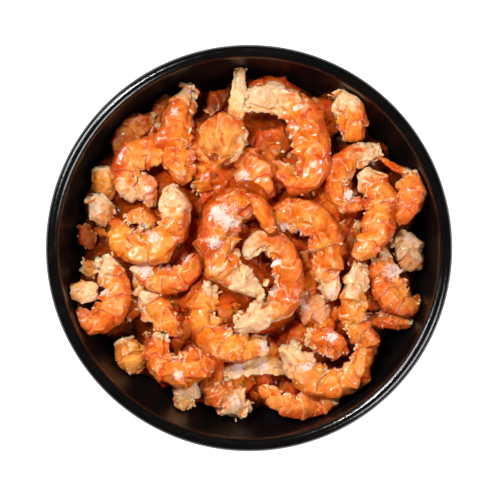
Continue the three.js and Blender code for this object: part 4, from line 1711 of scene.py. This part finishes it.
    def crumbs(self, group: Surface, number: int, seed: int) -> Surface:
        """Small lumps that lie on the upper sides of a surface, at seeded random vertices.

        A crumb is a ball: at a share b from its bottom to its top the ring's radius goes with the
        sine of half a turn times b and its height with minus the cosine. Each vertex is moved out
        or in at random, and the crumb is drawn out along x.

        Args:
            group: the surface that they lie on.
            number: how many.
            seed: which random draw.

        Returns:
            All the crumbs in one surface.
        """
        draw = np.random.default_rng(seed)
        shown = np.flatnonzero(group.marks[:, 2] < 0.25)
        spots = group.points[draw.choice(shown, number)]
        b, turn = ring_grid(self.crumb_rings, self.crumb_sides)
        size = draw.uniform(*self.crumb_sizes, (number, 1)) * draw.uniform(0.6, 1.0, (number, 1))
        wobble = draw.uniform(0.7, 1.3, (number, b.shape[1]))
        ring = np.sin(np.pi * b) * wobble
        body = np.stack([ring * np.cos(turn) * size * draw.uniform(0.8, 1.6, (number, 1)),
                         ring * np.sin(turn) * size, -np.cos(np.pi * b) * size * wobble], -1)
        points = np.concatenate([np.stack([0 * size, 0 * size, -size], -1), body,
                                 np.stack([0 * size, 0 * size, size], -1)], axis=1) + spots[:, None]
        each = points.shape[1]
        pattern = closed_grid(self.crumb_rings, self.crumb_sides, flipped=False)
        triangles = repeated(pattern, number, each)
        cream = np.repeat(draw.uniform(0.2, 1.0, number), each)
        powder = np.repeat(draw.choice((0.0, 0.0, 0.8), number), each)
        points = points.reshape(-1, 3)
        flesh = np.tile(colour(Shade.ORANGE.value), (len(points), 1))
        marks = np.stack([powder, cream, np.zeros(len(points))], -1)
        return Surface(kept_inside(points), triangles, flesh, marks, np.full_like(points, BETWEEN_JOINTS))


@dataclass
class Heap:
    """Every piece that shows, one mesh for each kind.

    core: what the pieces lie on.
    fillers: how many tails lie half sunk in the core.
    filler_seed: which random draw places them.
    filler_spread: how far from the axis they lie at most, in millimetres.
    square: side of a square of the grid that holds the heap's upper surface, in millimetres.
    shade_start: millimetres below that surface where the painted shade begins.
    shade_end: and where it is full.
    wall_shade: the least painted shade beside the wall.
    wall_start: millimetres from the axis where that begins.
    wall_end: and where it is full.
    """

    core: Core
    fillers: int = 46
    filler_seed: int = 4476
    filler_spread: float = 40.0
    square: float = 1.2
    shade_start: float = 4.5
    shade_end: float = 15.0
    wall_shade: float = 0.12
    wall_start: float = 33.0
    wall_end: float = 44.0

    @staticmethod
    def bodies(pieces: dict[str, Tail], rings: int, sides: int, seed: int, tapered: bool,
               ) -> list[DriedPiece]:
        """The bodies of a list of pieces, each with a seed of its own.

        Args:
            pieces: the pieces by name.
            rings: rings in each body.
            sides: vertices in each ring.
            seed: the first body's seed.
            tapered: narrow them towards the tail end.

        Returns:
            The bodies, in order.
        """
        return [DriedPiece(tail, rings, sides, seed + i, tapered)
                for i, tail in enumerate(pieces.values())]

    def paint_depth_shade(self, groups: list[Surface]) -> None:
        """Sets the depth mark from how far a vertex lies under the heap's upper surface.

        The depth mark is painted shade, which darkens and reddens the flesh deep in the heap. The upper
        surface is the highest vertex over each square of a plan grid, spread to its neighbours. Beside
        the wall no vertex has less than the wall's painted shade.

        Args:
            groups: the surfaces, which are changed in place.
        """
        cell = self.square
        count = int(2 * INSIDE_RADIUS / cell) + 3
        upper = np.zeros((count, count))
        every = np.concatenate([g.points for g in groups])
        squares = ((every[:, :2] + INSIDE_RADIUS) / cell).astype(int) + 1
        np.maximum.at(upper, (squares[:, 0], squares[:, 1]), every[:, 2])
        spread = upper.copy()
        for dx, dy in itertools.product((-2, -1, 0, 1, 2), repeat=2):
            spread = np.maximum(spread, np.roll(upper, (dx, dy), axis=(0, 1)))
        kernel = np.hanning(7)[1:-1]
        kernel /= kernel.sum()
        for axis in (0, 1):
            spread = np.apply_along_axis(np.convolve, axis, spread, kernel, mode="same")
        for group in groups:
            square = ((group.points[:, :2] + INSIDE_RADIUS) / cell).astype(int) + 1
            below = spread[square[:, 0], square[:, 1]] - group.points[:, 2]
            distance = np.hypot(group.points[:, 0], group.points[:, 1])
            # Painted shade: deeper under the heap's upper surface and beside the wall
            by_wall = self.wall_shade * smooth_step(self.wall_start, self.wall_end, distance)
            depth = by_wall + (1 - by_wall) * smooth_step(self.shade_start, self.shade_end, below)
            group.marks[:, 2] = np.maximum(group.marks[:, 2], depth)

    def filler_bodies(self) -> list[DriedPiece]:
        """Curled tails half sunk in the core, at seeded random places, where gaps let them show.

        A middle line is five equal steps, whose heading turns evenly one way or the other.

        Returns:
            The bodies.
        """
        draw = np.random.default_rng(self.filler_seed)
        made = []
        for number in range(self.fillers):
            distance = self.filler_spread * math.sqrt(draw.uniform(0.0, 1.0))
            bearing = draw.uniform(0, 2 * math.pi)
            heading = draw.uniform(0, 2 * math.pi) + np.linspace(-0.8, 0.8, 5) * draw.choice((-1, 1))
            steps = 4.2 * np.stack([np.cos(heading), np.sin(heading)], -1)
            plan = np.cumsum(steps, axis=0) - steps.sum(axis=0) / 2
            plan += distance * np.array([math.cos(bearing), math.sin(bearing)])
            width = draw.uniform(20, 27)
            height = self.core.height(plan, {}) + draw.uniform(-0.5, 1.2)
            knots = np.concatenate([plan, height[:, None]], axis=1)
            shade = (Shade.DARK, Shade.BROWN, Shade.ORANGE)[number % 3]
            tail = Tail(width, (), shade, cream=0.05, rose=0.5)
            made.append(DriedPiece(tail, rings=44, sides=22, seed=900 + number, knots=knots))
        return made

    def build(self, finishes: dict[str, bpy.types.Material]) -> list[bpy.types.Object]:
        """Builds each kind, sets the depths over all of them, and dresses them.

        Args:
            finishes: a material for each kind.

        Returns:
            The pieces.
        """
        shown = {**ROSY_TAILS, **AMBER_TAILS, **LOWER_TAILS, **CHUNKS, **FLAPS}
        kinds = {
            "rosy_curled_tails": self.bodies(ROSY_TAILS, 110, 56, seed=100, tapered=True),
            "amber_curled_tails": self.bodies(AMBER_TAILS, 104, 56, seed=200, tapered=True),
            "lower_curled_tails": self.bodies(LOWER_TAILS, 60, 36, seed=300, tapered=True),
            "blunt_chunks": self.bodies(CHUNKS, 90, 60, seed=400, tapered=False),
            "thin_flaps": self.bodies(FLAPS, 70, 40, seed=500, tapered=False),
            "buried_tails": self.filler_bodies(),
        }
        groups = {name: joined([body.surface() for body in bodies]) for name, bodies in kinds.items()}
        scraps = Scraps()
        upper = [body for name, bodies in kinds.items() if name != "buried_tails" for body in bodies]
        groups["torn_skins"] = scraps.skins(upper, spacing=1.6, seed=71)
        # Painted shade by depth in the heap
        self.paint_depth_shade(list(groups.values()))
        groups["crumbs"] = scraps.crumbs(joined(list(groups.values())), number=700, seed=73)
        made = [mesh_object(name, group, finishes[name]) for name, group in groups.items()]
        core = self.core.build(shown, finishes["packed_shrimp_below"])
        for piece in [*made, core]:
            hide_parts("shrimp_heap")
        return [*made, core]


@dataclass(frozen=True)
class SoftLight:
    """A soft box aimed at the heap."""

    name: str
    bearing: float
    elevation: float
    width: float
    height: float
    power: float
    tint: tuple[float, float, float]
    away: float = 0.55

    def build(self) -> None:
        """Places the light at its bearing, counted from +X to +Y, and its height above the table."""
        lamp = bpy.data.lights.new(self.name, "AREA")
        lamp.shape = "RECTANGLE"
        lamp.size = self.width
        lamp.size_y = self.height
        lamp.energy = self.power
        lamp.color = self.tint
        holder = placed(self.name, lamp)
        b, e = math.radians(self.bearing), math.radians(self.elevation)
        aim = np.array([0, 0, BOWL_HEIGHT * MM])
        toward = np.array([math.cos(b) * math.cos(e), math.sin(b) * math.cos(e), math.sin(e)])
        holder.location = aim + toward * self.away
        holder.rotation_euler = (math.pi / 2 - e, 0, b + math.pi / 2)


@dataclass
class Studio:
    """The pale floor, the lights and the camera that looks straight down."""

    frame_width: float = 0.13495
    camera_height: float = 1.0
    aim: tuple[float, float] = (0.00027, -0.00054)
    sensor: float = 36.0
    reach: float = 1.5
    air: tuple[float, float, float, float] = (0.96, 0.97, 1.0, 1.0)
    air_strength: float = 0.06

    def floor(self) -> None:
        """A pale sheet under everything, bright enough to read as white."""
        mesh = bpy.data.meshes.new("pale_floor")
        r = self.reach
        mesh.from_pydata([(-r, -r, 0), (r, -r, 0), (r, r, 0), (-r, r, 0)], [], [(0, 1, 2, 3)])
        material, nodes = new_material("pale_floor")
        where = nodes.add("ShaderNodeTexCoord").outputs["Object"]
        tone = nodes.mix(nodes.noise(where, 30, 3.0), (0.84, 0.84, 0.84), (0.88, 0.88, 0.88))
        shader = nodes.add("ShaderNodeBsdfPrincipled", {
            "Base Color": tone, "Roughness": 0.9, "Specular IOR Level": 0.1,
            "Emission Color": (1, 1, 1, 1), "Emission Strength": 0.7})
        nodes.show(shader)
        mesh.materials.append(material)
        made = placed("pale_floor", mesh)

    def camera(self) -> None:
        """A long lens above the bowl, as far off as gives the frame its width at the rim."""
        data = bpy.data.cameras.new("from_above")
        data.sensor_width = self.sensor
        data.lens = self.sensor * self.camera_height / self.frame_width
        data.clip_start = 0.05
        data.clip_end = 20.0
        made = placed("from_above", data)
        made.location = (*self.aim, BOWL_HEIGHT * MM + self.camera_height)
        bpy.context.scene.camera = made

    def build(self) -> None:
        """Builds the floor, the lights, the air's own faint light and the camera."""
        self.floor()
        SoftLight("left_box", 143, 42, 0.24, 0.24, 2.6, (0.93, 0.97, 1.0)).build()
        SoftLight("right_box", -36, 43, 0.3, 0.26, 2.35, (0.97, 0.96, 1.0)).build()
        SoftLight("glint_box", 128, 60, 0.07, 0.07, 1.5, (1.0, 1.0, 1.0)).build()
        world = bpy.data.worlds.new("studio_air")
        world.use_nodes = True
        air = world.node_tree.nodes["Background"]
        air.inputs[0].default_value = self.air
        air.inputs[1].default_value = self.air_strength
        bpy.context.scene.world = world
        bpy.context.scene.view_settings.view_transform = "Standard"
        self.camera()


def main() -> None:
    """Builds the bowl, the heap and the studio in order."""
    logging.basicConfig(level=logging.INFO, format="%(name)s: %(message)s")
    mottle = mottle_group()
    bowl = GlazedBowl().build(GlazeFinish().material(mottle))
    LOG.info("%s has %d triangles", bowl.name, len(bowl.data.polygons))
    rosy = FleshFinish("rosy_flesh").material(mottle)
    amber = FleshFinish("amber_flesh", pale=0xF2AA52).material(mottle)
    # A painted-shade copy of the flesh, darker, for what lies low in the heap
    buried_painted_shade = FleshFinish("buried_flesh_painted_shade", pale=0xDC6C14, cloud=0.3, joint=0xD88840, cream=0xD8A05C,
                         husk=0xB87030, rim=0.3, gloss=0.3, shine=0.15, pane=0.35).material(mottle)
    thin = FleshFinish("thin_skin", gloss=0.3, glow=0.0, cloud=0.5, rim=0.0,
                       powder=0xF8D2A8).material(mottle)
    crumbly = FleshFinish("crumbly_flesh", gloss=0.24, glow=0.5, cloud=0.5, rim=0.4).material(mottle)
    finishes = {
        "rosy_curled_tails": rosy, "amber_curled_tails": amber, "lower_curled_tails": buried_painted_shade,
        "blunt_chunks": amber, "thin_flaps": crumbly, "buried_tails": buried_painted_shade,
        "torn_skins": thin, "crumbs": thin, "packed_shrimp_below": buried_painted_shade,
    }
    for piece in Heap(Core()).build(finishes):
        LOG.info("%s has %d triangles", piece.name, len(piece.data.polygons))
    Studio().build()


if __name__ == "__main__":
    main()
